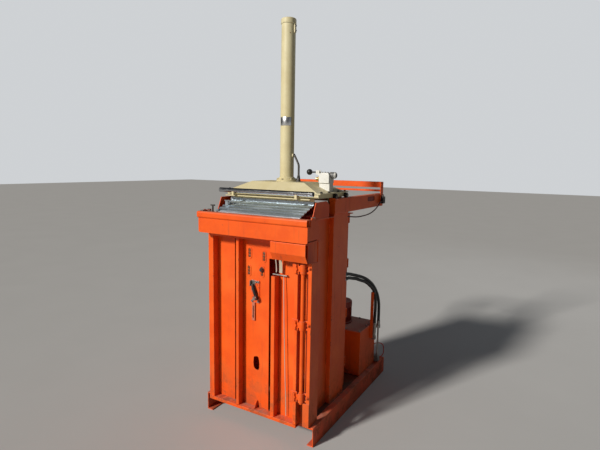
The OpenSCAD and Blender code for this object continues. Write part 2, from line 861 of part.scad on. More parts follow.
// The tray that rides over the arms, its skirts, cylinder seat, axles and bar brackets
module head_frame() {
    seat_t = 13;
    web_t = 8;
    seat_top = hood_top - hood_t - 0.05;
    web_x = 104;
    seat_d = roof_flat_d / 2 - 4;
    shoe_y = [head_back - 90, head_back - 30];
    color(cream) seat() {
        difference() {
            block([-tray_x, tray_x], [head_front, head_back], [tray_low, tray_top]);
            block([-tray_x + tray_t, tray_x - tray_t], [head_front + tray_t, head_back - tray_t],
                [tray_low - 1, tray_top + 1]);
        }
        for (y = [head_front, head_back - tray_t])
            block([-inner_x, inner_x], [y, y + tray_t], [skirt_low, tray_low]);
        block([-inner_x, inner_x], [head_front - 52, head_front], [tray_low - 5, tray_low]);
        both_sides() {
            along_x(web_x - web_t / 2, web_x + web_t / 2) polygon([
                [head_front + tray_t, tray_low], [head_back - tray_t, tray_low],
                [head_back - tray_t, tray_top - 2], [head_back - tray_t - 4, tray_top],
                [center_y + seat_d, seat_top - seat_t], [center_y - seat_d, seat_top - seat_t],
                [head_front + tray_t + 4, tray_top], [head_front + tray_t, tray_top - 2]]);
            block([inner_x - tray_t, inner_x], [roller_front - 14, head_back - tray_t],
                [arm_top - 50, tray_low]);
            block([inner_x - tray_t, tray_x - tray_t], [roller_front - 14, head_back - tray_t],
                [tray_low, tray_low + 5]);
            block([inner_x, arm_x - arm_t - 4], shoe_y, [arm_top - arm_t - 12, arm_top - arm_t - 2]);
            for (y = [roller_front, roller_back])
                bar_x([tray_x, y, roller_z], axle_d, roller_w + 2 * roller_gap);
            difference() {
                block([208, 222], [bar_y - 12, bar_y + 14], [tray_low, bar_z]);
                bar_x([207, bar_y, bar_z], bar_d, 16);
            }
        }
        difference() {
            block([-120, 120], [center_y - seat_d, center_y + seat_d], [seat_top - seat_t, seat_top]);
            bar_z([0, center_y, seat_top - seat_t - 1], gland_d, seat_t + 2);
        }
    }
}

// A hipped roof between two trapezoids, with its sheet drawn in by a wall
module roof(wall) {
    intersection() {
        along_y(head_front + 5 + wall, head_back - 5 - wall)
            polygon([[-roof_x + wall, hood_low - 1], [roof_x - wall, hood_low - 1],
                [roof_flat_x - wall, hood_top - wall], [-roof_flat_x + wall, hood_top - wall]]);
        along_x(-roof_x + wall, roof_x - wall)
            polygon([[head_front + 5 + wall, hood_low - 1], [head_back - 5 - wall, hood_low - 1],
                [center_y + roof_flat_d / 2 - wall, hood_top - wall],
                [center_y - roof_flat_d / 2 + wall, hood_top - wall]]);
    }
}

module hood() {
    color(cream) seat() difference() {
        union() {
            roof(0);
            block([-brim_x, brim_x], [head_front - brim_out, head_back + brim_out],
                [tray_top, hood_low]);
        }
        translate([0, 0, -0.01]) roof(hood_t);
        block([-roof_x + hood_t, roof_x - hood_t], [head_front + 8, head_back - 8],
            [tray_top - 1, hood_low]);
        bar_z([0, center_y, hood_top - 10], gland_d, 20);
    }
}

// The ribbed feed shield in front of the head
module apron() {
    low_y = -22;
    low_z = wall_top + 15;
    top_z = skirt_low;
    folds = 5;
    gauge = 3;
    run = head_front - low_y;
    rise = top_z - low_z;
    path = concat([[low_y, low_z]], [for (k = [0 : folds - 1], s = [0.2, 0.45, 0.55, 0.9])
        [low_y + run * (k + s) / folds,
            low_z + rise * (k + s) / folds + (s > 0.3 && s < 0.6 ? 5 : 0)]],
        [[head_front, top_z]]);
    color(zinc) seat() {
        along_x(-inner_x, inner_x) polygon(under(path, gauge));
        block([-inner_x, inner_x], [head_front - 3, head_front], [top_z - 3, top_z + 18]);
        block([-inner_x, inner_x], [low_y - 3, low_y], [low_z - 2.5, low_z + 3]);
        block([-270, -250], [48, 51], [low_z + 20, low_z + 62]);
        block([-270, -230], [40, 60], [low_z + 59, low_z + 62]);
    }
}

module pull_bar() {
    wall = 3;
    color(chrome) seat() difference() {
        bar_x([-bar_len / 2, bar_y, bar_z], bar_d, bar_len);
        bar_x([-bar_len / 2 - 1, bar_y, bar_z], bar_d - 2 * wall, bar_len + 2);
    }
}

// Cylinder and valve

port_up = 132;
cap_h = 26;
module cylinder_tube() {
    color(cream) seat() translate([0, center_y, 0]) difference() {
        union() {
            bar_z([0, 0, tube_low], tube_d, cylinder_top - tube_low - cap_h);
            bar_x([tube_d / 2 - 3, 0, tube_low + port_up], 22, 9);
            block([tube_d / 2 - 4, tube_d / 2 + 6], [-8, 8],
                [cylinder_top - 82, cylinder_top - 34]);
        }
        bar_z([0, 0, tube_low - 1], tube_d - 2 * tube_wall, cylinder_top - tube_low - cap_h + 2);
        bar_x([0, 0, tube_low + port_up], 9, tube_d);
    }
}

// The cap that closes the tube's upper end, with a chamfered top and a spigot in the bore
module cylinder_cap() {
    color(cream) seat() translate([0, center_y, cylinder_top - cap_h]) {
        bar_z([0, 0, 0], tube_d + 6, cap_h - 4);
        translate([0, 0, cap_h - 4]) cylinder(d1 = tube_d + 6, d2 = tube_d - 4, h = 4);
        bar_z([0, 0, -10], tube_d - 2 * tube_wall - 0.2, 11);
    }
}

// The two-step gland flange with its ring of bolts
module cylinder_flange() {
    bolts = 6;
    color(cream) seat() translate([0, center_y, hood_top]) {
        difference() {
            rotate_extrude() polygon([[0, 0], [62, 0], [62, flange_t - 1], [61, flange_t],
                [50, flange_t], [50, 22], [48, 24], [0, 24]]);
            translate([0, 0, -1]) cylinder(d = rod_d + 6, h = 26);
        }
        for (k = [0 : bolts - 1])
            rotate([0, 0, 360 * (k + 0.5) / bolts]) translate([55.6, 0, flange_t])
                cylinder(d = 9 / cos(30), h = 7, $fn = 6);
    }
}

// The steel pipe from the tube's lower port down into the hood
module pressure_pipe() {
    port = [tube_d / 2 + 6, center_y, tube_low + port_up];
    bend = [port, port + [3, 0, 0], port + [8, 0, -4], [77, center_y, tube_low + 88],
        [81.5, center_y, tube_low + 78], [83, center_y, tube_low + 66],
        [83, center_y, hood_top + 20]];
    color(steel) seat() {
        tube_along(bend, 12, [0, 1, 0], 12);
        bar_z([83, center_y, hood_top], 24 / cos(30), 12, $fn = 6);
        bar_z([83, center_y, hood_top + 12], 20, 14);
    }
}

// The directional valve on its bracket, with the spool cap and the port unions
valve_x = [238, 302];
valve_top = 1498;
module valve_block() {
    y = [center_y - 34, center_y + 30];
    low = valve_top - 58;
    slope = hood_rise / (roof_x - roof_flat_x);
    foot_x = valve_x[1] + 1;
    color(white) seat() {
        block(valve_x, y, [low, valve_top - 8]);
        block([valve_x[0] + 10, valve_x[1] - 8], [y[0] + 8, y[1] - 8], [valve_top - 8, valve_top]);
        along_y(y[0] + 8, y[1] - 8) polygon([[valve_x[0], low], [valve_x[1], low],
            [foot_x, hood_low + (roof_x - foot_x) * slope + 0.3],
            [valve_x[0], hood_low + (roof_x - valve_x[0]) * slope + 0.3]]);
        bar_x([valve_x[1], center_y, valve_top - 14], 36, 26);
        bar_x([valve_x[1] + 26, center_y, valve_top - 14], 28, 4);
        bar_x([valve_x[0] - 16, center_y, valve_top - 14], 26, 16);
        for (p = [[-18, low + 22], [14, low + 14]]) {
            bar_x([valve_x[0] - 12, center_y + p[0], p[1]], 26, 12, $fn = 6);
            bar_x([valve_x[0] - 26, center_y + p[0], p[1]], 18, 14);
        }
        for (side = [-1, 1])
            block([valve_x[0] - 32, valve_x[0] - 10],
                [center_y + side * 9 - 3, center_y + side * 9 + 3],
                [valve_top - 12, valve_top + 12]);
        bar_y([valve_x[0] - 24, center_y - 14, valve_top + 2], 8, 28);
    }
}

// The hand lever with its ball knob, on the pin between the valve's two ears
module valve_lever() {
    pivot = [valve_x[0] - 24, center_y, valve_top + 2];
    rod_len = 56;
    knob_d = 35;
    color(black) seat() difference() {
        union() {
            translate([pivot[0] - rod_len, pivot[1], pivot[2]]) rotate([0, 90, 0]) {
                rotate_extrude() polygon([for (a = [-90 : 15 : 90])
                    knob_d / 2 * [cos(a), sin(a)]]);
                translate([0, 0, 10]) cylinder(d = 9, h = rod_len - 10);
            }
            bar_y([pivot[0], pivot[1] - 5.5, pivot[2]], 15, 11);
        }
        bar_y([pivot[0], pivot[1] - 8, pivot[2]], 8.1, 16);
    }
}

// Platen

module piston_rod() {
    color(chrome) seat() {
        bar_z([0, center_y, platen_low + platen_t + 46], rod_d, 760);
        bar_z([0, center_y, platen_low + platen_t + 806], tube_d - 2 * tube_wall - 0.6, 40);
    }
}

// The pressing plate with two raised strap channels and its cross beams
module platen() {
    top = platen_low + platen_t;
    beam = [70, 46];
    channels = [[rib_left_x - slot_w, rib_left_x], [rib_mid_x - slot_w, rib_mid_x]];
    channel_h = 22;
    gauge = 4;
    color(maroon) seat() {
        difference() {
            block([-platen_x, platen_x], [platen_front, platen_back], [platen_low, top]);
            for (c = channels)
                block(c, [platen_front - 1, platen_back + 1], [platen_low - 1, top + 1]);
        }
        for (c = channels)
            along_y(platen_front, platen_back) difference() {
                translate([c[0] - gauge, top]) square([c[1] - c[0] + 2 * gauge, channel_h]);
                translate([c[0], top - 1]) square([c[1] - c[0], channel_h + 1 - gauge]);
            }
        for (y = [center_y - 130, center_y + 130 - beam[0]])
            difference() {
                block([-platen_x + 30, platen_x - 30], [y, y + beam[0]], [top, top + beam[1]]);
                block([-platen_x, platen_x], [y + gauge, y + beam[0] - gauge],
                    [top - 1, top + beam[1] - gauge]);
                for (c = channels)
                    block([c[0] - gauge, c[1] + gauge], [y - 1, y + beam[0] + 1],
                        [top - 1, top + channel_h]);
            }
        block([-60, 46], [center_y - 60, center_y + 60], [top, top + 14]);
        bar_z([0, center_y, top + 14], rod_d + 24, 32);
    }
}

// Rollers

module roller_pair(y) {
    for (x = [-tray_x - roller_gap - roller_w, tray_x + roller_gap])
        translate([x, y, roller_z]) rotate([90, 0, 90]) difference() {
            rotate_extrude() polygon([[0, 0], [roller_d / 2 - 1, 0], [roller_d / 2, 1],
                [roller_d / 2, roller_w - 1], [roller_d / 2 - 1, roller_w], [0, roller_w]]);
            translate([0, 0, -1]) cylinder(d = axle_d + 0.1, h = roller_w + 2);
        }
}

module rollers_front() color(black) seat() roller_pair(roller_front);
module rollers_rear() color(black) seat() roller_pair(roller_back);

// The T-handled pin that locks the closed head to the lip
module lock_pin() {
    top = wall_top + 50;
    color(steel) seat() {
        bar_z([pin_x, pin_y, top - 48], lock_d, 48);
        bar_x([pin_x - 17, pin_y, top + 3], 8, 34);
    }
}

skid_left();
skid_right();
deck_plate();
crossbars();
wall_left();
wall_right();
wall_back();
jamb_left();
jamb_right();
hinge_bar();
frame_lugs();
front_beam();
infeed_lip();
cheeks();
post_left();
post_right();
arm_left();
arm_right();
rear_frame();
limit_switch();
tank();
tank_lid();
motor();
filler_cap();
hose_stand();
hose_fittings();
hose_pressure();
hose_return();
switch_cable();
red_cable();
door_frame();
door_panel_left();
door_panel_mid();
door_panel_right();
door_leaves();
strap_cover();
reel_spindle();
strap_guide();
strap_tail();
latch_plate();
latch_lever();
strap_reel_left();
strap_reel_right();
head_frame();
hood();
apron();
pull_bar();
cylinder_tube();
cylinder_cap();
cylinder_flange();
pressure_pipe();
valve_block();
valve_lever();
piston_rod();
platen();
rollers_front();
rollers_rear();
lock_pin();
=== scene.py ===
"""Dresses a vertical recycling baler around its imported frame.

Each sub-assembly of the machine is a class with its sizes as fields. A class models its own
small pieces with Blender's modelling tools, takes the frame's sheet-metal nodes over as merged
copies with rolled edges, and gives every surface a finish made of shader nodes.
Shapes are given in millimetres from the skids' front ends, with X to the right, Y to the back
and Z up, and at() turns them into the frame's metres. Materials, lights and camera use metres.
"""

from __future__ import annotations

import json
import logging
import math
from dataclasses import dataclass, field
from enum import Enum
from typing import Callable, Sequence

import bpy
from mathutils import Matrix, Vector

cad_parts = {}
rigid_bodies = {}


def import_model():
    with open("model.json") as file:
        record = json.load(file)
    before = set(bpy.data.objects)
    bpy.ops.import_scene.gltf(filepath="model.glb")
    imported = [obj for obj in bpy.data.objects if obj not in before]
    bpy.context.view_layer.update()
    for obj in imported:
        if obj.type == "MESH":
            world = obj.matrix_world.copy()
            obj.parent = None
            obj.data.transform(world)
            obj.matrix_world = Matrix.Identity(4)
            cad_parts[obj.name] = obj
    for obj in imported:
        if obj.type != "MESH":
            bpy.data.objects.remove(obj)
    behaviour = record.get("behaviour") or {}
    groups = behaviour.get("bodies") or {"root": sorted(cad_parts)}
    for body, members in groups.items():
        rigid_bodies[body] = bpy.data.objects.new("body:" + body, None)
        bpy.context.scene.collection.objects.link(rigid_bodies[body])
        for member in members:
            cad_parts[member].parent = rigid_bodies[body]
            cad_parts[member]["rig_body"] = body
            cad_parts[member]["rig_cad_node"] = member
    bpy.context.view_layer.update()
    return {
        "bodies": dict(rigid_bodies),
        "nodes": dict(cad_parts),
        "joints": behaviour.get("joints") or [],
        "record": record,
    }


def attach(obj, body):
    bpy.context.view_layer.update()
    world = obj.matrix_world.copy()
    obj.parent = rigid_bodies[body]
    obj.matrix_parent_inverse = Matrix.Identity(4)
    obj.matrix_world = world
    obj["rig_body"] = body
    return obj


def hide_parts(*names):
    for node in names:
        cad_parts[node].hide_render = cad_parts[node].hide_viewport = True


LOG = logging.getLogger("baler")
# Millimetres in a metre
PER_METRE = 1000
# Where the skids' front ends lie along the frame's Y axis, in metres
SHIFT_Y = -0.511
# The levels of the three hinges, in millimetres
HINGE_LEVELS = (276.0, 686.0, 995.0)
# Unit vectors along the frame's axes, as seen by someone who faces the door
RIGHT, LEFT, BACK, FRONT = (1, 0, 0), (-1, 0, 0), (0, 1, 0), (0, -1, 0)
UP, DOWN = (0, 0, 1), (0, 0, -1)
# Edges flatter than this in degrees are shaded smooth on bolts and on weld beads
CRISP, SOFT = 25.0, 60.0
# The sides of a nut
HEX = 6
# The length of a weld bead's ripple, the thickness of a washer and its chamfer, in millimetres
RIPPLE = 6
WASHER, CHAMFER = 2.0, 0.4
Point = Sequence[float]
Number = float | int


def at(x: float, y: float, z: float) -> Vector:
    """A point given in millimetres from the skids' front ends, in the frame's metres."""
    return Vector((x / PER_METRE, y / PER_METRE + SHIFT_Y, z / PER_METRE))


# Shader nodes


def plug(tree: bpy.types.NodeTree, slot: bpy.types.NodeSocket, value: object) -> None:
    """Links an output to a node's input, or sets the input to a value.

    Args:
        tree: The node tree.
        slot: The input.
        value: A Socket, a number, a vector, a colour, or None to leave the input as it is.
    """
    if isinstance(value, Socket):
        tree.links.new(value.link, slot)
    elif slot.type == "RGBA" and isinstance(value, tuple):
        slot.default_value = (*value, 1.0)
    elif value is not None:
        slot.default_value = value


class Socket:
    """A node's output that takes part in Python arithmetic.

    Args:
        tree: The node tree that the output belongs to.
        link: The output socket itself.
    """

    def __init__(self, tree: bpy.types.NodeTree, link: bpy.types.NodeSocket) -> None:
        """Keeps the tree and the output."""
        self.tree = tree
        self.link = link

    def _math(self, operation: str, first: Socket | Number, second: Socket | Number) -> Socket:
        """The result of one Math node with two operands."""
        node = self.tree.nodes.new("ShaderNodeMath")
        node.operation = operation
        plug(self.tree, node.inputs[0], first)
        plug(self.tree, node.inputs[1], second)
        return Socket(self.tree, node.outputs[0])

    def __add__(self, other: Socket | Number) -> Socket:
        """The sum."""
        return self._math("ADD", self, other)

    def __radd__(self, other: Number) -> Socket:
        """The sum, from the right."""
        return self._math("ADD", other, self)

    def __sub__(self, other: Socket | Number) -> Socket:
        """The difference."""
        return self._math("SUBTRACT", self, other)

    def __rsub__(self, other: Number) -> Socket:
        """The difference, from the right."""
        return self._math("SUBTRACT", other, self)

    def __mul__(self, other: Socket | Number) -> Socket:
        """The product."""
        return self._math("MULTIPLY", self, other)

    def __rmul__(self, other: Number) -> Socket:
        """The product, from the right."""
        return self._math("MULTIPLY", other, self)

    def most(self, other: Socket | Number) -> Socket:
        """The larger of two values."""
        return self._math("MAXIMUM", self, other)

    def clear(self) -> Socket:
        """The value held between 0 and 1."""
        node = self.tree.nodes.new("ShaderNodeClamp")
        plug(self.tree, node.inputs["Value"], self)
        return Socket(self.tree, node.outputs[0])

    def step(self, low: float, high: float) -> Socket:
        """A smooth rise from 0 at low to 1 at high, or a fall where high is below low."""
        node = self.tree.nodes.new("ShaderNodeMapRange")
        node.interpolation_type = "SMOOTHSTEP"
        for name, value in (("Value", self), ("From Min", min(low, high)),
                            ("From Max", max(low, high))):
            plug(self.tree, node.inputs[name], value)
        rising = Socket(self.tree, node.outputs[0])
        return rising if high > low else 1 - rising


Colour = tuple[float, float, float]
# The places of a Mix node's factor and two colours, and of its blended colour
MIX_INPUTS = (0, 6, 7)
MIX_OUTPUT = 2


class Paint:
    """One material under construction.

    Args:
        name: The material's name.
    """

    def __init__(self, name: str) -> None:
        """Starts the material with an empty Principled shader."""
        self.material = bpy.data.materials.new(name)
        self.material.use_nodes = True
        self.tree = self.material.node_tree
        self.shader = self.tree.nodes["Principled BSDF"]
        coordinates = self.tree.nodes.new("ShaderNodeTexCoord")
        self.where = Socket(self.tree, coordinates.outputs["Object"])
        self.facing = Socket(self.tree, coordinates.outputs["Normal"])

    def node(self, kind: str, inputs: dict[str, object], out: int | str = 0) -> Socket:
        """Adds any node.

        Args:
            kind: The node's type, without the words that every type starts with.
            inputs: Values or links for its sockets.
            out: Which output to return.

        Returns:
            The chosen output.
        """
        made = self.tree.nodes.new(f"ShaderNode{kind}")
        for key, value in inputs.items():
            plug(self.tree, made.inputs[key], value)
        return Socket(self.tree, made.outputs[out])

    def stretched(self, scale: Point) -> Socket:
        """Object coordinates scaled along each axis."""
        return self.node("Mapping", {"Vector": self.where, "Scale": scale})

    def noise(self, scale: float, detail: float = 4.0, roughness: float = 0.55,
              where: Socket | None = None) -> Socket:
        """Fractal noise between about 0.2 and 0.8, with this many features per metre."""
        return self.node("TexNoise", {"Vector": where or self.where, "Scale": scale,
                                      "Detail": detail, "Roughness": roughness})

    def cells(self, scale: float) -> Socket:
        """A random value for each cell of a Voronoi pattern, as zinc spangle has."""
        colour = self.node("TexVoronoi", {"Vector": self.where, "Scale": scale}, "Color")
        return self.node("SeparateColor", {"Color": colour})

    def axis(self, which: int, source: Socket | None = None) -> Socket:
        """One coordinate of a position or a normal: 0 is X, 1 is Y and 2 is Z."""
        return self.node("SeparateXYZ", {"Vector": source or self.where}, which)

    def mix(self, share: Socket | float, first: Colour | Socket, second: Colour | Socket) -> Socket:
        """Blends two colours.

        Args:
            share: How much of the second colour shows.
            first: The first colour.
            second: The second colour.

        Returns:
            The blend.
        """
        made = self.tree.nodes.new("ShaderNodeMix")
        made.data_type = "RGBA"
        for place, value in zip(MIX_INPUTS, (share, first, second)):
            plug(self.tree, made.inputs[place], value)
        return Socket(self.tree, made.outputs[MIX_OUTPUT])

    def bump(self, height: Socket, distance: float, strength: float = 1.0,
             under: Socket | None = None) -> Socket:
        """Turns a height into a normal.

        Args:
            height: The height, about 0 to 1.
            distance: The depth in metres that 1 stands for.
            strength: How much of it shows.
            under: A normal that this one lies on.

        Returns:
            The normal.
        """
        return self.node("Bump", {"Height": height, "Distance": distance, "Strength": strength,
                                  "Normal": under})

    def close(self, colour: Socket | Colour, roughness: Socket | float,
              metallic: Socket | float = 0.0, normal: Socket | None = None,
              specular: float | None = None) -> bpy.types.Material:
        """Feeds the shader and returns the finished material.

        Args:
            colour: The base colour.
            roughness: The roughness.
            metallic: How metallic it is.
            normal: The bumped normal.
            specular: The specular level, if not the shader's own.

        Returns:
            The material.
        """
        for name, value in (("Base Color", colour), ("Roughness", roughness),
                            ("Metallic", metallic), ("Normal", normal),
                            ("Specular IOR Level", specular)):
            plug(self.tree, self.shader.inputs[name], value)
        return self.material


# Finishes

RUST: Colour = (0.105, 0.030, 0.012)
RUST_PALE: Colour = (0.27, 0.095, 0.035)
GRIME: Colour = (0.060, 0.036, 0.024)
DUST: Colour = (0.42, 0.33, 0.27)
BARE: Colour = (0.33, 0.31, 0.29)


@dataclass(frozen=True)
class SheetPaint:
    """Workshop paint on folded sheet, faded by the sun, chipped, streaked and rusting, with painted
    shade on the faces that turn to the right.
    """

    name: str
    colour: Colour
    faded: Colour
    deep: Colour
    gloss: float = 0.36
    # Scales the dirt, the dust and the painted shade on right-facing faces
    grime_and_shade: float = 0.5
    rust: float = 0.5
    worn_edge: bool = False

    def make(self) -> bpy.types.Material:
        """Builds the material."""
        p = Paint(self.name)
        broad = p.noise(2.3, 3.0)
        blotch = p.noise(9.0, 5.0, 0.6)
        fine = p.noise(70.0, 4.0, 0.6)
        streak = p.noise(1.0, 5.0, 0.65, p.stretched((34, 34, 2.2)))
        colour = p.mix(broad.step(0.42, 0.72), self.colour, self.faded)
        colour = p.mix(blotch.step(0.60, 0.36) * 0.55, colour, self.deep)
        # Painted shade: faces turned towards +X are darkened towards a deep tone, as if they were
        # out of the light
        painted_shade_right_faces = p.axis(0, p.facing).step(0.70, 0.98)
        colour = p.mix(painted_shade_right_faces * self.grime_and_shade * 0.62, colour, tuple(0.42 * c for c in self.deep))
        height = p.axis(2)
        upward = p.axis(2, p.facing).step(0.55, 0.95)
        low = height.step(0.42, 0.02)
        dirt = (streak.step(0.56, 0.74) * 0.55 + low * blotch.step(0.40, 0.62)) * self.grime_and_shade
        dirt = dirt.clear()
        colour = p.mix(dirt, colour, GRIME)
        dusty = upward * (0.35 + 0.5 * blotch.step(0.4, 0.6)) * self.grime_and_shade
        colour = p.mix(dusty, colour, DUST)
        edge_limit = 0.585 if self.worn_edge else 0.70 - 0.03 * self.rust
        speck = p.noise(26.0, 6.0, 0.7)
        chips = speck.step(edge_limit, edge_limit + 0.035)
        foot = (low * p.noise(14.0, 6.0, 0.7).step(0.53, 0.60) * self.rust).clear()
        rusty = chips.most(foot)
        colour = p.mix(rusty, colour, p.mix(fine, RUST, RUST_PALE))
        if self.worn_edge:
            rubbed = p.noise(38.0, 3.0, 0.5).step(0.50, 0.58)
            colour = p.mix(rubbed * 0.35, colour, p.mix(0.3, self.faded, BARE))
        rough = self.gloss + 0.16 * fine + 0.35 * dirt + 0.35 * dusty + 0.45 * rusty
        orange_peel = p.noise(420.0, 2.0, 0.5)
        normal = p.bump(orange_peel, 0.00008, 0.5)
        normal = p.bump(broad + 0.3 * blotch, 0.0022, 0.35, normal)
        normal = p.bump(fine * rusty - rusty, 0.0006, 0.9, normal)
        return p.close(colour, rough.clear(), 0.0, normal, 0.36)


@dataclass(frozen=True)
class Galvanised:
    """Zinc-coated sheet with spangle, water marks and rubbed dirt."""

    name: str
    colour: Colour
    rough: float = 0.34
    dirt: float = 0.4
    spangle: float = 0.5

    def make(self) -> bpy.types.Material:
        """Builds the material."""
        p = Paint(self.name)
        cell = p.cells(95.0)
        broad = p.noise(6.0, 4.0)
        marks = p.noise(1.0, 5.0, 0.6, p.stretched((5, 16, 16)))
        fine = p.noise(120.0, 4.0, 0.6)
        dark = tuple(c * 0.55 for c in self.colour)
        colour = p.mix(cell * self.spangle, self.colour, dark)
        white = tuple(min(1.0, c * 1.35 + 0.06) for c in self.colour)
        colour = p.mix(marks.step(0.50, 0.66) * 0.6, colour, white)
        soiled = (broad.step(0.52, 0.70) * self.dirt).clear()
        colour = p.mix(soiled, colour, GRIME)
        rough = self.rough + 0.18 * cell * self.spangle + 0.22 * marks + 0.4 * soiled
        normal = p.bump(broad, 0.004, 0.4)
        normal = p.bump(fine, 0.00015, 0.4, normal)
        return p.close(colour, rough.clear(), 0.9 - 0.5 * soiled, normal)


@dataclass(frozen=True)
class BareMetal:
    """Machined, polished or rusting metal."""

    name: str
    colour: Colour
    rough: float
    rust: float = 0.0
    smudge: float = 0.2

    def make(self) -> bpy.types.Material:
        """Builds the material."""
        p = Paint(self.name)
        turned = p.noise(1.0, 3.0, 0.6, p.stretched((900, 60, 60)))
        blotch = p.noise(24.0, 5.0, 0.65)
        fine = p.noise(260.0, 3.0, 0.6)
        hazy = blotch.step(0.45, 0.68) * self.smudge
        dull = tuple(c * 0.62 for c in self.colour)
        colour = p.mix(hazy, self.colour, dull)
        edge = 0.74 - 0.32 * self.rust
        rusty = blotch.step(edge, edge + 0.08) * (1.0 if self.rust else 0.0)
        colour = p.mix(rusty, colour, p.mix(fine, RUST, RUST_PALE))
        rough = self.rough + 0.25 * hazy + 0.08 * turned + 0.55 * rusty
        normal = p.bump(turned, 0.00004, 0.3)
        normal = p.bump(fine * rusty, 0.0004, 0.8, normal)
        return p.close(colour, rough.clear(), 1.0 - 0.85 * rusty, normal)


@dataclass(frozen=True)
class Moulded:
    """Plastic or rubber with a fine grain and a film of dust."""

    name: str
    colour: Colour
    rough: float
    grain: float = 300.0
    depth: float = 0.00012
    dust: float = 0.3

    def make(self) -> bpy.types.Material:
        """Builds the material."""
        p = Paint(self.name)
        fine = p.noise(self.grain, 3.0, 0.6)
        blotch = p.noise(18.0, 5.0, 0.6)
        film = (blotch.step(0.46, 0.70) * self.dust
                + p.axis(2, p.facing).step(0.3, 1.0) * self.dust * 0.5).clear()
        pale = tuple(c * 0.75 + 0.10 for c in self.colour)
        colour = p.mix(film, self.colour, pale)
        rough = self.rough + 0.3 * film + 0.1 * fine
        return p.close(colour, rough.clear(), 0.0, p.bump(fine, self.depth, 0.6))


@dataclass(frozen=True)
class RubbedPlate:
    """A latch plate painted with the door, and rubbed to bare zinc where the grip rests."""

    name: str
    bare_from: float = 0.812

    def make(self) -> bpy.types.Material:
        """Builds the material."""
        p = Paint(self.name)
        ragged = p.noise(60.0, 5.0, 0.65)
        fine = p.noise(200.0, 3.0, 0.6)
        bare = (p.axis(2) + 0.030 * ragged - 0.015).step(self.bare_from, self.bare_from + 0.006)
        bare = bare * p.axis(0).step(-0.034, -0.040)
        scuff = ragged.step(0.60, 0.66)
        bare = bare.most(scuff * 0.7)
        zinc = p.mix(fine, (0.22, 0.21, 0.20), (0.36, 0.35, 0.33))
        colour = p.mix(bare, p.mix(ragged, ORANGE_DEEP, ORANGE_BASE), zinc)
        colour = p.mix(p.axis(2).step(0.748, 0.744) * 0.8, colour, (0.46, 0.17, 0.11))
        colour = p.mix(ragged.step(0.44, 0.36) * 0.5, colour, GRIME)
        return p.close(colour, (0.42 - 0.12 * bare + 0.1 * fine).clear(), 0.85 * bare,
                       p.bump(fine, 0.0002, 0.5))


@dataclass(frozen=True)
class DeckPaint:
    """The deck under the power pack: paint worn through to brown, oily, dusty steel."""

    name: str

    def make(self) -> bpy.types.Material:
        """Builds the material."""
        p = Paint(self.name)
        broad = p.noise(5.0, 5.0, 0.6)
        fine = p.noise(55.0, 6.0, 0.65)
        oil = p.noise(3.2, 3.0).step(0.55, 0.66)
        colour = p.mix(broad.step(0.42, 0.62), (0.23, 0.062, 0.022), (0.12, 0.055, 0.032))
        colour = p.mix(fine.step(0.55, 0.75) * 0.6, colour, DUST)
        colour = p.mix(oil * 0.7, colour, (0.03, 0.02, 0.016))
        rough = 0.75 - 0.4 * oil + 0.15 * fine
        return p.close(colour, rough.clear(), 0.0, p.bump(fine, 0.0008, 0.6))


@dataclass(frozen=True)
class StudioFloor:
    """A plain pale floor."""

    name: str = "studio_floor"

    def make(self) -> bpy.types.Material:
        """Builds the material."""
        p = Paint(self.name)
        soft = p.noise(1.5, 3.0)
        colour = p.mix(soft, (0.50, 0.495, 0.485), (0.54, 0.535, 0.525))
        return p.close(colour, 0.85)


ORANGE_BASE: Colour = (0.86, 0.106, 0.005)
ORANGE_FADED: Colour = (0.88, 0.138, 0.014)
ORANGE_DEEP: Colour = (0.74, 0.078, 0.004)
MAROON_BASE: Colour = (0.34, 0.046, 0.026)
CREAM_BASE: Colour = (0.68, 0.600, 0.355)


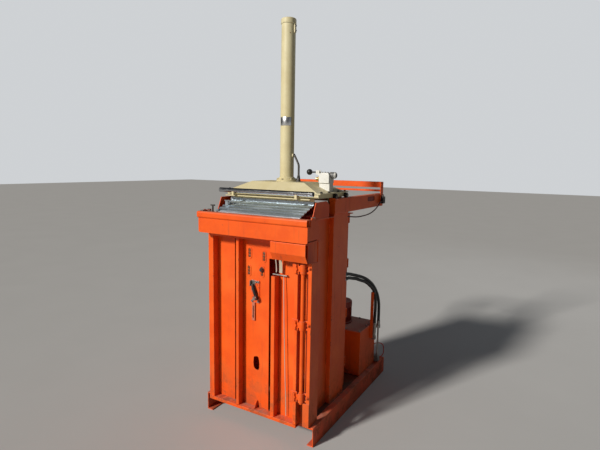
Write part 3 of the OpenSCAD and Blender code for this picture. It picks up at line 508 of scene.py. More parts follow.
class Finish(Enum):
    """Every finish on the machine."""

    ORANGE = SheetPaint("weathered_orange", ORANGE_BASE, ORANGE_FADED, ORANGE_DEEP)
    ORANGE_EDGE = SheetPaint("rubbed_orange", ORANGE_BASE, ORANGE_FADED, ORANGE_DEEP,
                             worn_edge=True)
    ORANGE_DIRTY = SheetPaint("grimy_orange", (0.78, 0.090, 0.014), (0.82, 0.125, 0.030),
                              (0.62, 0.062, 0.009), gloss=0.44, grime_and_shade=0.42, rust=0.5)
    # The lid's colours are paler than its dusty paint: painted light that stands in for sky light
    # on the lid, which lies in the machine's shade
    LID = SheetPaint("dusty_lid_painted_light", (0.60, 0.285, 0.225), (0.64, 0.335, 0.275),
                     (0.50, 0.205, 0.150), gloss=0.62, grime_and_shade=0.6, rust=0.7)
    MAROON = SheetPaint("weathered_maroon", MAROON_BASE, (0.38, 0.062, 0.036),
                        (0.20, 0.028, 0.015), gloss=0.45, grime_and_shade=0.7)
    CREAM = SheetPaint("weathered_cream", CREAM_BASE, (0.72, 0.655, 0.415),
                       (0.58, 0.495, 0.270), gloss=0.36, grime_and_shade=0.24, rust=0.0)
    CREAM_EDGE = SheetPaint("rubbed_cream", CREAM_BASE, (0.74, 0.68, 0.47), (0.48, 0.40, 0.22),
                            gloss=0.4, grime_and_shade=0.45, rust=0.0)
    WHITE = SheetPaint("weathered_white", (0.76, 0.76, 0.71), (0.82, 0.82, 0.78),
                       (0.60, 0.58, 0.50), gloss=0.4, grime_and_shade=0.35, rust=0.0)
    DECK = DeckPaint("worn_deck")
    ZINC = Galvanised("soiled_zinc", (0.42, 0.41, 0.38), 0.38, 0.6, 0.25)
    LATCH = RubbedPlate("rubbed_latch")
    SHIELD = Galvanised("galvanised_shield", (0.52, 0.60, 0.66), 0.24, 0.30, 0.4)
    PLATE = BareMetal("silver_plate", (0.80, 0.81, 0.82), 0.24, 0.0, 0.3)
    CHROME = BareMetal("hazed_chrome", (0.46, 0.47, 0.49), 0.10, 0.0, 0.35)
    STEEL = BareMetal("worn_steel", (0.36, 0.34, 0.32), 0.40, 0.55, 0.5)
    DARK = BareMetal("dark_steel", (0.11, 0.105, 0.10), 0.42, 0.25, 0.5)
    RUSTY = BareMetal("rusty_steel", (0.20, 0.11, 0.075), 0.60, 1.0, 0.6)
    BRIGHT = BareMetal("plated_bolt", (0.46, 0.44, 0.41), 0.34, 0.45, 0.5)
    BRASS = BareMetal("dull_brass", (0.60, 0.42, 0.17), 0.32, 0.1, 0.5)
    BLACK = Moulded("moulded_black", (0.014, 0.014, 0.015), 0.38, dust=0.18)
    RUBBER = Moulded("hose_rubber", (0.012, 0.012, 0.013), 0.42, 500.0, 0.0002, 0.22)
    GREY = Moulded("moulded_grey", (0.13, 0.13, 0.125), 0.42)
    LEAD = Moulded("brown_lead", (0.060, 0.016, 0.012), 0.45)
    RED = Moulded("red_lead", (0.52, 0.045, 0.028), 0.4)
    STRAP = Moulded("pale_strap", (0.48, 0.40, 0.33), 0.5, 800.0, 0.0001, 0.15)
    TAN_STRAP = Moulded("tan_strap", (0.50, 0.42, 0.30), 0.5, 800.0, 0.0001, 0.3)
    FLOOR = StudioFloor()

    def material(self) -> bpy.types.Material:
        """The finish's material, made the first time that it is asked for."""
        return bpy.data.materials.get(self.value.name) or self.value.make()


EDGES: dict[Finish, Finish] = {
    Finish.ORANGE: Finish.ORANGE_EDGE, Finish.ORANGE_DIRTY: Finish.ORANGE_EDGE,
    Finish.LID: Finish.ORANGE_EDGE, Finish.CREAM: Finish.CREAM_EDGE,
}


# Modelling


class Bench:
    """Models pieces with Blender's own tools, one object at a time."""

    @staticmethod
    def clear() -> None:
        """Leaves edit mode and deselects everything."""
        if bpy.context.object is not None and bpy.context.object.mode != "OBJECT":
            bpy.ops.object.mode_set(mode="OBJECT")
        bpy.ops.object.select_all(action="DESELECT")

    @staticmethod
    def only(*objects: bpy.types.Object) -> None:
        """Selects just these objects and makes the first one active."""
        Bench.clear()
        for thing in objects:
            thing.select_set(True)
        bpy.context.view_layer.objects.active = objects[0]

    @staticmethod
    def settle(thing: bpy.types.Object) -> bpy.types.Object:
        """Moves an object's place into its mesh, so that it sits at the origin."""
        Bench.only(thing)
        bpy.ops.object.transform_apply(location=True, rotation=True, scale=True)
        return thing

    @staticmethod
    def box(low: Point, high: Point) -> bpy.types.Object:
        """A block between two corners."""
        Bench.clear()
        low, high = at(*low), at(*high)
        bpy.ops.mesh.primitive_cube_add(size=1, location=(low + high) / 2)
        thing = bpy.context.object
        thing.scale = high - low
        return Bench.settle(thing)

    @staticmethod
    def rod(start: Point, end: Point, radius: float, sides: int = 32,
            far_radius: float | None = None) -> bpy.types.Object:
        """A round bar, or a cone where the far radius differs.

        Args:
            start: The middle of its first end.
            end: The middle of its far end.
            radius: Its radius at the start.
            sides: How many faces go round it.
            far_radius: Its radius at the far end, where it differs.

        Returns:
            The bar.
        """
        Bench.clear()
        start, end = at(*start), at(*end)
        run = end - start
        far = radius if far_radius is None else far_radius
        bpy.ops.mesh.primitive_cone_add(
            vertices=sides, radius1=radius / PER_METRE, radius2=far / PER_METRE,
            depth=run.length, location=(start + end) / 2,
            rotation=run.to_track_quat("Z", "Y").to_euler())
        return Bench.settle(bpy.context.object)

    @staticmethod
    def line(points: Sequence[Point]) -> bpy.types.Object:
        """A chain of edges, drawn by extruding one vertex, and left in edit mode."""
        Bench.clear()
        places = [at(*p) for p in points]
        bpy.ops.mesh.primitive_plane_add(size=0.002, location=places[0])
        thing = bpy.context.object
        bpy.ops.object.mode_set(mode="EDIT")
        bpy.ops.mesh.select_mode(type="VERT")
        bpy.ops.mesh.select_all(action="SELECT")
        bpy.ops.mesh.merge(type="CENTER")
        for one, two in zip(places, places[1:]):
            bpy.ops.mesh.extrude_vertices_move(
                TRANSFORM_OT_translate={"value": tuple(two - one), "orient_type": "GLOBAL"})
        bpy.ops.mesh.select_all(action="SELECT")
        return thing

    @staticmethod
    def close_up(thing: bpy.types.Object) -> bpy.types.Object:
        """Turns every normal outwards, leaves edit mode and settles the piece."""
        bpy.ops.mesh.select_all(action="SELECT")
        bpy.ops.mesh.normals_make_consistent(inside=False)
        bpy.ops.object.mode_set(mode="OBJECT")
        return Bench.settle(thing)

    @staticmethod
    def extrude(way: Point) -> None:
        """Extrudes what is selected in edit mode."""
        bpy.ops.mesh.extrude_region_move(TRANSFORM_OT_translate={
            "value": tuple(Vector(way) / PER_METRE), "orient_type": "GLOBAL"})

    @staticmethod
    def plate(outline: Sequence[Point], thickness: Point) -> bpy.types.Object:
        """A flat plate from its outline.

        Args:
            outline: The corners in order, in one plane.
            thickness: The way and distance that the face is extruded.

        Returns:
            The plate, with its normals outwards.
        """
        thing = Bench.line([*outline, outline[0]])
        bpy.ops.mesh.remove_doubles(threshold=1e-6)
        bpy.ops.mesh.edge_face_add()
        Bench.extrude(thickness)
        return Bench.close_up(thing)

    @staticmethod
    def turned(profile: Sequence[tuple[float, float]], base: Point, way: Point,
               steps: int = 40) -> bpy.types.Object:
        """A turned piece from its half section.

        Args:
            profile: Pairs of distance along the axis and radius, from end to end.
            base: The point on the axis where the distance is 0.
            way: The axis.
            steps: How many steps the spin takes.

        Returns:
            The turned piece, closed where the radius is 0.
        """
        axis = Vector(way).normalized()
        side = axis.orthogonal().normalized()
        thing = Bench.line([Vector(base) + axis * a + side * r for a, r in profile])
        bpy.ops.mesh.spin(steps=steps, angle=2 * math.pi, center=at(*base), axis=tuple(axis))
        bpy.ops.mesh.select_all(action="SELECT")
        bpy.ops.mesh.remove_doubles(threshold=2e-6)
        return Bench.close_up(thing)

    @staticmethod
    def modify(thing: bpy.types.Object, kind: str, **settings: object) -> bpy.types.Object:
        """Adds a modifier of this kind with these settings, and applies it."""
        Bench.only(thing)
        bpy.ops.object.modifier_add(type=kind)
        modifier = thing.modifiers[-1]
        for key, value in settings.items():
            setattr(modifier, key, value)
        bpy.ops.object.modifier_apply(modifier=modifier.name)
        return thing

    @staticmethod
    def roll(thing: bpy.types.Object, width: float, segments: int = 2, angle: float = 32.0,
             material: int = -1) -> bpy.types.Object:
        """Rolls the sharp edges with a bevel that is applied.

        Args:
            thing: The piece.
            width: The bevel's width.
            segments: Its segments.
            angle: Edges sharper than this in degrees are rolled.
            material: The place of the new faces' material, or -1 for that of their neighbours.

        Returns:
            The piece.
        """
        return Bench.modify(thing, "BEVEL", width=width / PER_METRE, segments=segments,
                            limit_method="ANGLE", angle_limit=math.radians(angle),
                            material=material)

    @staticmethod
    def join(parts: Sequence[bpy.types.Object]) -> bpy.types.Object:
        """Joins several objects into the first."""
        Bench.only(*parts)
        if len(parts) > 1:
            bpy.ops.object.join()
        return bpy.context.object

    @staticmethod
    def bolt(head: Point, way: Point, flats: float, height: float,
             washer: float = 0.0) -> bpy.types.Object:
        """A hexagon bolt head on its washer, with a chamfered top and a domed middle.

        Args:
            head: The middle of the seat.
            way: The way that the head stands out.
            flats: The size across the flats.
            height: The head's height.
            washer: The washer's radius, or 0 for none.

        Returns:
            The bolt.
        """
        head, axis = Vector(head), Vector(way).normalized()
        across = flats / 2 / math.cos(math.radians(30))
        low = head + axis * (WASHER if washer else 0)
        edge, top = low + axis * height * 0.8, low + axis * height
        parts = [Bench.rod(low, edge, across, HEX),
                 Bench.rod(edge, top, across, HEX, across * 0.86)]
        if washer:
            rim = washer - CHAMFER
            ring = [(0, 0), (0, rim), (CHAMFER, washer), (WASHER - CHAMFER, washer), (WASHER, rim),
                    (WASHER, 0)]
            parts.append(Bench.turned(ring, head, axis, 28))
        return Bench.join(parts)

    @staticmethod
    def ring(count: int, first: float = 0) -> list[Vector]:
        """Level directions at equal turns, from the first turn in radians."""
        turns = [first + 2 * math.pi * k / count for k in range(count)]
        return [Vector((math.cos(turn), math.sin(turn), 0)) for turn in turns]

    @staticmethod
    def bead(start: Point, end: Point, radius: float) -> bpy.types.Object:
        """A weld bead: a low ridge whose ripples swell and shrink along it."""
        start, end = Vector(start), Vector(end)
        length = (end - start).length
        count = max(4, math.ceil(length / RIPPLE) - 1)
        ridge = [(length * k / count, radius * (1.0 if k % 2 else 0.84)) for k in range(count + 1)]
        return Bench.turned([(0.0, 0.0), *ridge, (length, 0.0)], start, end - start, 10)


@dataclass
class Assembly:
    """One sub-assembly: it names its pieces, and rides and dresses each of them."""

    frame: dict[str, object] = field(repr=False)
    body: str = "frame"

    def finish(self, made: bpy.types.Object | list[bpy.types.Object], name: str, finish: Finish,
               body: str | None = None, replaces: Sequence[str] = (),
               smooth: float = 34.0) -> bpy.types.Object:
        """Names, dresses and rides a piece.

        Args:
            made: The piece, or a list of objects that become one piece.
            name: Its name.
            finish: Its finish.
            body: The body that it rides on, if not the assembly's own.
            replaces: The frame's nodes that it stands for.
            smooth: Edges flatter than this in degrees are shaded smooth.

        Returns:
            The piece.
        """
        thing = Bench.join(made) if isinstance(made, list) else made
        thing.name = name
        thing.data.name = name
        if not thing.data.materials:
            thing.data.materials.append(finish.material())
        else:
            thing.data.materials[0] = finish.material()
        Bench.settle(thing)
        bpy.ops.object.shade_smooth_by_angle(angle=math.radians(smooth))
        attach(thing, body or self.body)
        if replaces:
            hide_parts(*replaces)
        LOG.info("piece %s, %d faces", name, len(thing.data.polygons))
        return thing

    def bolts(self, name: str, places: Sequence[Point], way: Point, sizes: Sequence[float],
              finish: Finish = Finish.BRIGHT) -> None:
        """Makes one piece of equal bolts.

        Args:
            name: The piece's name.
            places: The middles of the seats.
            way: The way that the heads stand out.
            sizes: The size across the flats, the height and, where there is one, the washer.
            finish: The bolts' finish.
        """
        self.finish([Bench.bolt(p, way, *sizes) for p in places], name, finish, smooth=CRISP)

    def welds(self, name: str, runs: Sequence[tuple[Point, Point, float]]) -> None:
        """Makes one piece of weld beads.

        Args:
            name: The piece's name.
            runs: Each bead's start, end and radius.
        """
        self.finish([Bench.bead(*run) for run in runs], name, Finish.ORANGE, smooth=SOFT)

    def take_over(self, node: str, finish: Finish, name: str | None = None, width: float = 1.2,
                  segments: int = 2, body: str | None = None,
                  angle: float = 32.0) -> bpy.types.Object:
        """A merged copy of a frame's node with its edges rolled, which stands for the node.

        Args:
            node: The node.
            finish: The copy's finish.
            name: The copy's name.
            width: The width of the rolled edges.
            segments: The segments across each edge.
            body: The body that it rides on, if not the assembly's own.
            angle: Edges sharper than this in degrees are rolled.

        Returns:
            The piece.
        """
        Bench.only(self.frame["nodes"][node])
        bpy.ops.object.duplicate()
        thing = bpy.context.object
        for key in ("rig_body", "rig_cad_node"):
            if key in thing:
                del thing[key]
        thing.parent = None
        thing.matrix_world = Matrix.Identity(4)
        thing.data.materials.clear()
        thing.data.materials.append(finish.material())
        thing.data.materials.append(EDGES.get(finish, finish).material())
        bpy.ops.object.mode_set(mode="EDIT")
        bpy.ops.mesh.select_all(action="SELECT")
        bpy.ops.mesh.remove_doubles(threshold=1e-6)
        bpy.ops.mesh.dissolve_limited(angle_limit=math.radians(0.4))
        bpy.ops.mesh.vert_connect_concave()
        bpy.ops.object.mode_set(mode="OBJECT")
        for polygon in thing.data.polygons:
            polygon.material_index = 0
        if width:
            Bench.roll(thing, width, segments, angle, material=1)
        self.finish(thing, name or f"{node}_piece", finish, body, [node])
        return Bench.modify(thing, "WEIGHTED_NORMAL", keep_sharp=True)


@dataclass(frozen=True)
class Cord:
    """A hose, cable or strap on its route, which stands for a frame's node."""

    name: str
    node: str
    diameter: float
    finish: Finish
    route: tuple[Point, ...]
    body: str = "frame"
    far_end: str = "object"
    stiffness: str = "medium"
    lie: str = "hanging"

    def lay(self) -> None:
        """Makes the cord as a curve through its route's points."""
        Bench.clear()
        data = bpy.data.curves.new(self.name, "CURVE")
        data.dimensions = "3D"
        data.bevel_depth = self.diameter / PER_METRE / 2
        data.bevel_resolution = 5
        data.resolution_u = 8
        data.use_fill_caps = True
        spline = data.splines.new("BEZIER")
        spline.bezier_points.add(len(self.route) - 1)
        places = [at(*p) for p in self.route]
        for point, place in zip(spline.bezier_points, places):
            point.co = place
            point.handle_left_type = point.handle_right_type = "AUTO"
        thing = bpy.data.objects.new(self.name, data)
        bpy.context.scene.collection.objects.link(thing)
        data.materials.append(self.finish.material())
        bpy.context.view_layer.update()
        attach(thing, self.body)
        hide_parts(self.node)


@dataclass
class Door(Assembly):
    """The ribbed door with its sheets, hinges, strap cover, latch and strapping."""

    body: str = "door"
    sheet_front: float = 38.0
    pads: tuple[tuple[float, float], ...] = ((-80, 1033), (21, 1022), (-85, 929), (8, 932))
    latch: tuple[float, float] = (-22.0, 778.0)
    lean: float = 20.0

    def build(self) -> None:
        """Builds the whole door."""
        self.take_over("door_frame", Finish.ORANGE, "door_ribs", 2.2, 3)
        for node in ("door_panel_left", "door_panel_mid", "door_panel_right"):
            self.take_over(node, Finish.ORANGE, f"{node}_sheet", 0.9)
        self.take_over("door_leaves", Finish.ORANGE, "hinge_leaves", 1.4)
        self.take_over("strap_cover", Finish.ORANGE, "folded_strap_cover", 2.5, 4, angle=15)
        self.take_over("reel_spindle", Finish.STEEL, "reel_spindle_bar", 1)
        self.bolts("leaf_bolts", [(264, -16, z + dz) for z in HINGE_LEVELS for dz in (17, -17)],
                   FRONT, (17, 9, 13), Finish.ORANGE)
        self._welds()
        self._pad_marks()
        self._latch()
        self._straps()
        self._reels()
        self.welds("gusset_welds", [((-22, -1, 105), (-22, 34, 105), 2.8),
                                    ((-22, 37.2, 108), (-22, 37.2, 140), 2.8)])

    def _welds(self) -> None:
        """Weld beads along the ribs' feet, the hinge leaves' edges and the ribs' sides."""
        feet = ((-352, 1), (-315, -1), (-145, 1), (-125, -1), (101, 1), (125, -1), (252, 1),
                (272, -1))
        runs = [((x + 4 * side, -10, 104.5), (x + 16 * side, -10, 104.5), 3) for x, side in feet]
        runs += [((243, -11, z - 26), (243, -11, z + 26), 3) for z in HINGE_LEVELS]
        runs += [((x, 37, z), (x, 37, z + 38), 2.8)
                 for x in (-145, 101) for z in (190, 420, 650, 880)]
        self.welds("door_welds", runs)

    def _pad_marks(self) -> None:
        """The four fixing pads: three rusty plugs on each, and one bolt."""
        plug_shape = ((0, 8.5), (2.2, 8), (3.4, 5), (3.6, 0))
        self.finish([Bench.turned(plug_shape, (x, self.sheet_front, z + dz), FRONT, 16)
                     for x, z in self.pads for dz in (-17, 0, 17)], "pad_plugs", Finish.RUSTY)
        x, z = self.pads[3]
        front, level = self.sheet_front, z + 12
        self.finish([Bench.bolt((x, front - 4, level), FRONT, 19, 12, 14.5),
                     Bench.rod((x, front - 16, level), (x, front - 21, level), 5, 16, 4.5)],
                    "pad_bolt", Finish.DARK, smooth=CRISP)

    def _latch(self) -> None:
        """The latch: a bent zinc plate, screws, a slotted bar and the leaning handle."""
        x, z = self.latch
        self.take_over("latch_plate", Finish.LATCH, "latch_plate_bent", 1.5, 3)
        screws = [Bench.bolt((dx, 33, dz), FRONT, 10, 5, 8)
                  for dx, dz in ((-58, 752), (-15, 752), (-15, 868), (-30, 868))]
        screws.append(Bench.bolt((x, 5, z), FRONT, 17, 8, 12))
        self.finish(screws, "latch_screws", Finish.BRIGHT, smooth=CRISP)
        # A black bar behind the slot of the slotted bar: a dark piece that stands for the shade in
        # the slot
        slot_shade_bar = Bench.roll(Bench.box((-51.6, 33.2, 648), (-44.4, 37.4, 726)), 0.6)
        self.finish(slot_shade_bar, "latch_slot_shade_bar", Finish.BLACK)
        turn = math.radians(self.lean)
        up = Vector((-math.sin(turn), 0, math.cos(turn)))
        side = Vector((math.cos(turn), 0, math.sin(turn)))
        grip = Bench.turned([(18, 0), (18, 6.5), (22, 9.5), (30, 10.2), (52, 9.2), (72, 8), (79, 7),
                             (82.5, 4.5), (83.5, 0)], (x, 20, z), up, 28)
        blade = ((0, -9), (24, -7.5), (30, -5), (30, 5), (24, 7.5), (0, 9))
        outline = [Vector((x, 16, z)) + up * a + side * b for a, b in blade]
        arm = Bench.roll(Bench.plate(outline, (0, 8, 0)), 1.2)
        hub = Bench.turned([(0, 6.2), (0, 13), (1, 13.5), (9, 13.5), (10, 13), (10, 6.2)],
                           (x, 15, z), BACK, 32)
        self.finish([grip, arm, hub], "latch_handle", Finish.BLACK, "latch", ["latch_lever"])

    def _straps(self) -> None:
        """The wire rail with its hooked ends, and the straps that hang through the window."""
        wire = [Bench.rod((98, 22, 934), (184, 22, 934), 4, 16),
                Bench.rod((180, 22, 934), (180, 38, 934), 4, 16),
                Bench.turned([(0, 0), (0, 3.8), (3, 4.4), (5, 3.8), (5, 0)],
                             (98, 22, 934), LEFT, 16)]
        self.finish(wire, "strap_wire", Finish.ZINC, replaces=["strap_guide"])
        for name, x, width, finish, lean in (("tan_strap", 149, 20, Finish.TAN_STRAP, -3),
                                             ("pale_strap", 114, 6, Finish.STRAP, 3)):
            path = [(x, 6, 1052), (x + lean * 0.4, 12, 1020), (x + lean * 0.8, 17, 990),
                    (x + lean, 19, 960), (x + lean, 17.4, 948)]
            self.finish(self._band(path, width), name, finish, smooth=SOFT)

    @staticmethod
    def _band(path: Sequence[Point], width: float) -> bpy.types.Object:
        """A flat strap along a path, facing the front."""
        thing = Bench.line([(x - width / 2, y, z) for x, y, z in path])
        Bench.extrude((width, 0, 0))
        bpy.ops.object.mode_set(mode="OBJECT")
        return Bench.modify(thing, "SOLIDIFY", thickness=0.9 / PER_METRE)

    def _reels(self) -> None:
        """Two reels of strapping with pressed side discs and a wound coil."""
        bore, rim, width, inside, turns, pitch = 8.06, 34.5, 44, 3, 16, 2.36
        disc = [(0, bore), (0, 34), (0.7, rim), (0.7, 40.5), (1.5, 42),
                (2.6, 42), (inside, 40.5), (inside, rim), (inside, bore)]
        coil = [(inside, bore), (inside, rim)]
        for k in range(turns):
            coil += [(3.6 + k * pitch, 35.2), (4.8 + k * pitch, 34.4)]
        coil += [(width - inside, rim), (width - inside, bore)]
        shapes = (disc, [(width - a, r) for a, r in disc], coil)
        for node, x, body in (("strap_reel_left", 145, "reel_left"),
                              ("strap_reel_right", 195, "reel_right")):
            self.finish([Bench.turned(shape, (x, -14, 1074), RIGHT, 48) for shape in shapes],
                        f"{node}_wound", Finish.BLACK, body, [node])


@dataclass
class Frame(Assembly):
    """The skids, deck, chamber, jambs, beam, lip, posts and arms."""

    def build(self) -> None:
        """Builds the whole frame."""
        for node in ("wall_left", "wall_right", "wall_back", "jamb_left", "jamb_right",
                     "frame_lugs", "crossbars"):
            self.take_over(node, Finish.ORANGE)
        for node in ("skid_left", "skid_right"):
            self.take_over(node, Finish.ORANGE_DIRTY, None, 2.2, 3)
        self.take_over("deck_plate", Finish.DECK)
        for node in ("post_left", "post_right", "arm_left", "arm_right", "rear_frame"):
            self.take_over(node, Finish.ORANGE, None, 2.8, 3)
        self.take_over("front_beam", Finish.ORANGE, "folded_front_beam", 2.8, 3)
        self.take_over("infeed_lip", Finish.ORANGE, "round_nose_lip", 1.8, 3)
        self.take_over("cheeks", Finish.ORANGE_DIRTY, "cheek_plates", 1.4)
        self.take_over("hinge_bar", Finish.ORANGE, "hinge_round_bar", 1.8, 3)
        self.take_over("limit_switch", Finish.BLACK, "limit_switch_box", 1.6, 3)
        self._lug_bolts()
        self._welds()
        self._slot_plates()
        self._lip_trim()
        self._switch_trim()
        self._pin()

    def _lug_bolts(self) -> None:
        """The nuts and studs at the right jamb beside each hinge."""
        parts = []
        for z in HINGE_LEVELS:
            parts += [Bench.bolt((345, -10, z + 8), FRONT, 14, 8, 10.5),
                      Bench.rod((345, -18, z + 8), (345, -24, z + 8), 4, 16, 3.6)]
        self.finish(parts, "jamb_bolts", Finish.ORANGE, smooth=CRISP)

    def _welds(self) -> None:
        """Weld beads where the posts, walls, cheeks and arms stand on their plates."""
        runs = []
        for s in (-1, 1):
            runs += [((s * x, low, z), (s * x, high, z), radius) for x, z, low, high, radius in
                     ((330.5, 106.5, 292, 478, 3.5), (300.5, 106.5, 50, 286, 3.2),
                      (328, 1250.5, 60, 220, 2.8), (331, 1262, 292, 478, 3.2))]
            runs += [((s * 300.6, 290, z), (s * 300.6, 290, z + 55), 3.4)
                     for z in (300, 520, 740, 960, 1150)]
        runs += [((322, -3.5, z + 26), (350, -3.5, z + 26), 2.4) for z in HINGE_LEVELS]
        self.welds("frame_welds", runs)

    def _slot_plates(self) -> None:
        """The thin plates that close the arms' slots from inside, painted dark maroon as painted
        shade for the dark seen through the slots.
        """
        thick, outside = 2.3, 329.9
        self.finish([Bench.roll(Bench.box((x, 776, 1303), (x + thick, 914, 1341)), 0.6)
                     for x in (-outside, outside - thick)], "arm_slot_plates_painted_shade", Finish.MAROON)

    def _lip_trim(self) -> None:
        """The lip's grey rubber pad and the bolts at its ends."""
        pad = Bench.roll(Bench.box((-362, -66, 1266.2), (-340, -40, 1271)), 1.5, 3)
        self.finish(pad, "lip_pad", Finish.GREY)
        self.bolts("lip_bolts", [(s * 351, 0, 1262.2) for s in (-1, 1)], UP, (20.5, 9, 13.5))

    def _switch_trim(self) -> None:
        """The limit switch's cover screws, its plunger and the gland's ribs."""
        self.finish([Bench.turned([(0, 0), (0, 3), (1.2, 2.8), (1.8, 0)], (361, y, z), RIGHT, 14)
                     for y in (1013, 1039) for z in (1286, 1322)], "switch_screws", Finish.BRIGHT)
        plunger = Bench.turned([(0, 0), (0, 6), (3, 6.4), (9, 6.4), (12, 5), (12, 3), (17, 3),
                                (18, 0)], (351, 1028, 1328), UP, 20)
        self.finish(plunger, "switch_plunger", Finish.GREY)
        self.finish([Bench.turned([(0, 4), (0, 7.8), (2.2, 8.2), (4.4, 7.8), (4.4, 4)],
                                  (351, y, 1296), FRONT, 20) for y in (1006.5, 1001.5)],
                    "gland_ribs", Finish.BLACK)

    def _pin(self) -> None:
        """The T-handled lock pin with its rounded cross bar."""
        x, y, top = -280, -50, 1300
        stem = Bench.turned([(0, 0), (1, 4.4), (2.5, 5), (48, 5), (48, 0)],
                            (x, y, top - 48), UP, 24)
        cross = Bench.turned([(0, 0), (0.5, 2.8), (2, 4), (32, 4), (33.5, 2.8), (34, 0)],
                             (x - 17, y, top + 3), RIGHT, 20)
        self.finish([stem, cross], "t_lock_pin", Finish.DARK, "pin", ["lock_pin"])


@dataclass
class Head(Assembly):
    """The rolling head: tray, hood, feed shield, pull bar and rollers."""

    body: str = "head"
    bar: tuple[float, float] = (60.0, 1386.0)
    axle_level: float = 1365.0
    axles: tuple[tuple[str, float], ...] = (("rollers_front", 310.0), ("rollers_rear", 455.0))

    def build(self) -> None:
        """Builds the head."""
        self.take_over("head_frame", Finish.CREAM, "head_tray", 1.4)
        self.take_over("hood", Finish.CREAM, "hipped_hood", 5, 4, angle=12)
        self.take_over("apron", Finish.SHIELD, "ribbed_feed_shield", 1.2, 2, angle=15)
        self._bar()
        self._rollers()
        self._shield_trim()
        self.bolts("brim_bolts", [(x, y, 1388) for x in (-318, 318) for y in (150, 240, 360, 450)],
                   UP, (11, 6, 8.5), Finish.DARK)
        self.take_over("platen", Finish.MAROON, "press_platen", 1.8, body="ram")
        self.take_over("piston_rod", Finish.CHROME, "piston_and_rod", 1.2, body="ram")

    def _bar(self) -> None:
        """The chromed pull bar with plugged ends, and the bolts of its brackets."""
        length, radius, hole, rolled = 636, 13.5, 10.5, 0.8
        bar = Bench.turned([(0, hole), (0, radius - rolled), (rolled, radius),
                            (length - rolled, radius), (length, radius - rolled),
                            (length, hole), (0, hole)], (-318, *self.bar), RIGHT, 48)
        self.finish(bar, "chrome_pull_bar", Finish.CHROME, replaces=["pull_bar"])
        self.finish([Bench.turned([(0, 0), (0, 10.4), (6, 10.4), (6, 0)], (x, *self.bar), RIGHT, 32)
                     for x in (-318, 312)], "bar_end_plugs", Finish.BLACK)
        self.bolts("bracket_bolts", [(s * 215, 61, 1353) for s in (-1, 1)], DOWN, (13, 6, 10))

    def _rollers(self) -> None:
        """Four rollers with rounded treads, and the axles' caps."""
        tread = [(0, 6.05), (0, 10.5), (1.2, 11.2), (1.2, 12.8), (0, 13.5), (0.4, 14.5), (1.6, 15),
                 (16.4, 15), (17.6, 14.5), (18, 13.5), (16.8, 12.8), (16.8, 11.2), (18, 10.5),
                 (18, 6.05), (0, 6.05)]
        for node, y in self.axles:
            self.finish([Bench.turned(tread, (x, y, self.axle_level), RIGHT, 48)
                         for x in (-334, 316)], f"{node}_turned", Finish.BLACK, node, [node])
        cap = [(0, 0), (0, 5.8), (0.8, 6.4), (3, 6.4), (3.6, 5.8), (3.6, 0)]
        self.finish([Bench.turned(cap, (s * 336.2, y, self.axle_level), (s, 0, 0), 24)
                     for s in (-1, 1) for _, y in self.axles], "axle_caps", Finish.STEEL)

    def _shield_trim(self) -> None:
        """Rivets along the shield's top edge."""
        self.finish([Bench.turned([(0, 4.2), (1, 3.8), (1.9, 2.2), (2.1, 0)],
                                  (-270 + 54 * k, 122, 1334), FRONT, 14) for k in range(11)],
                    "shield_rivets", Finish.SHIELD)


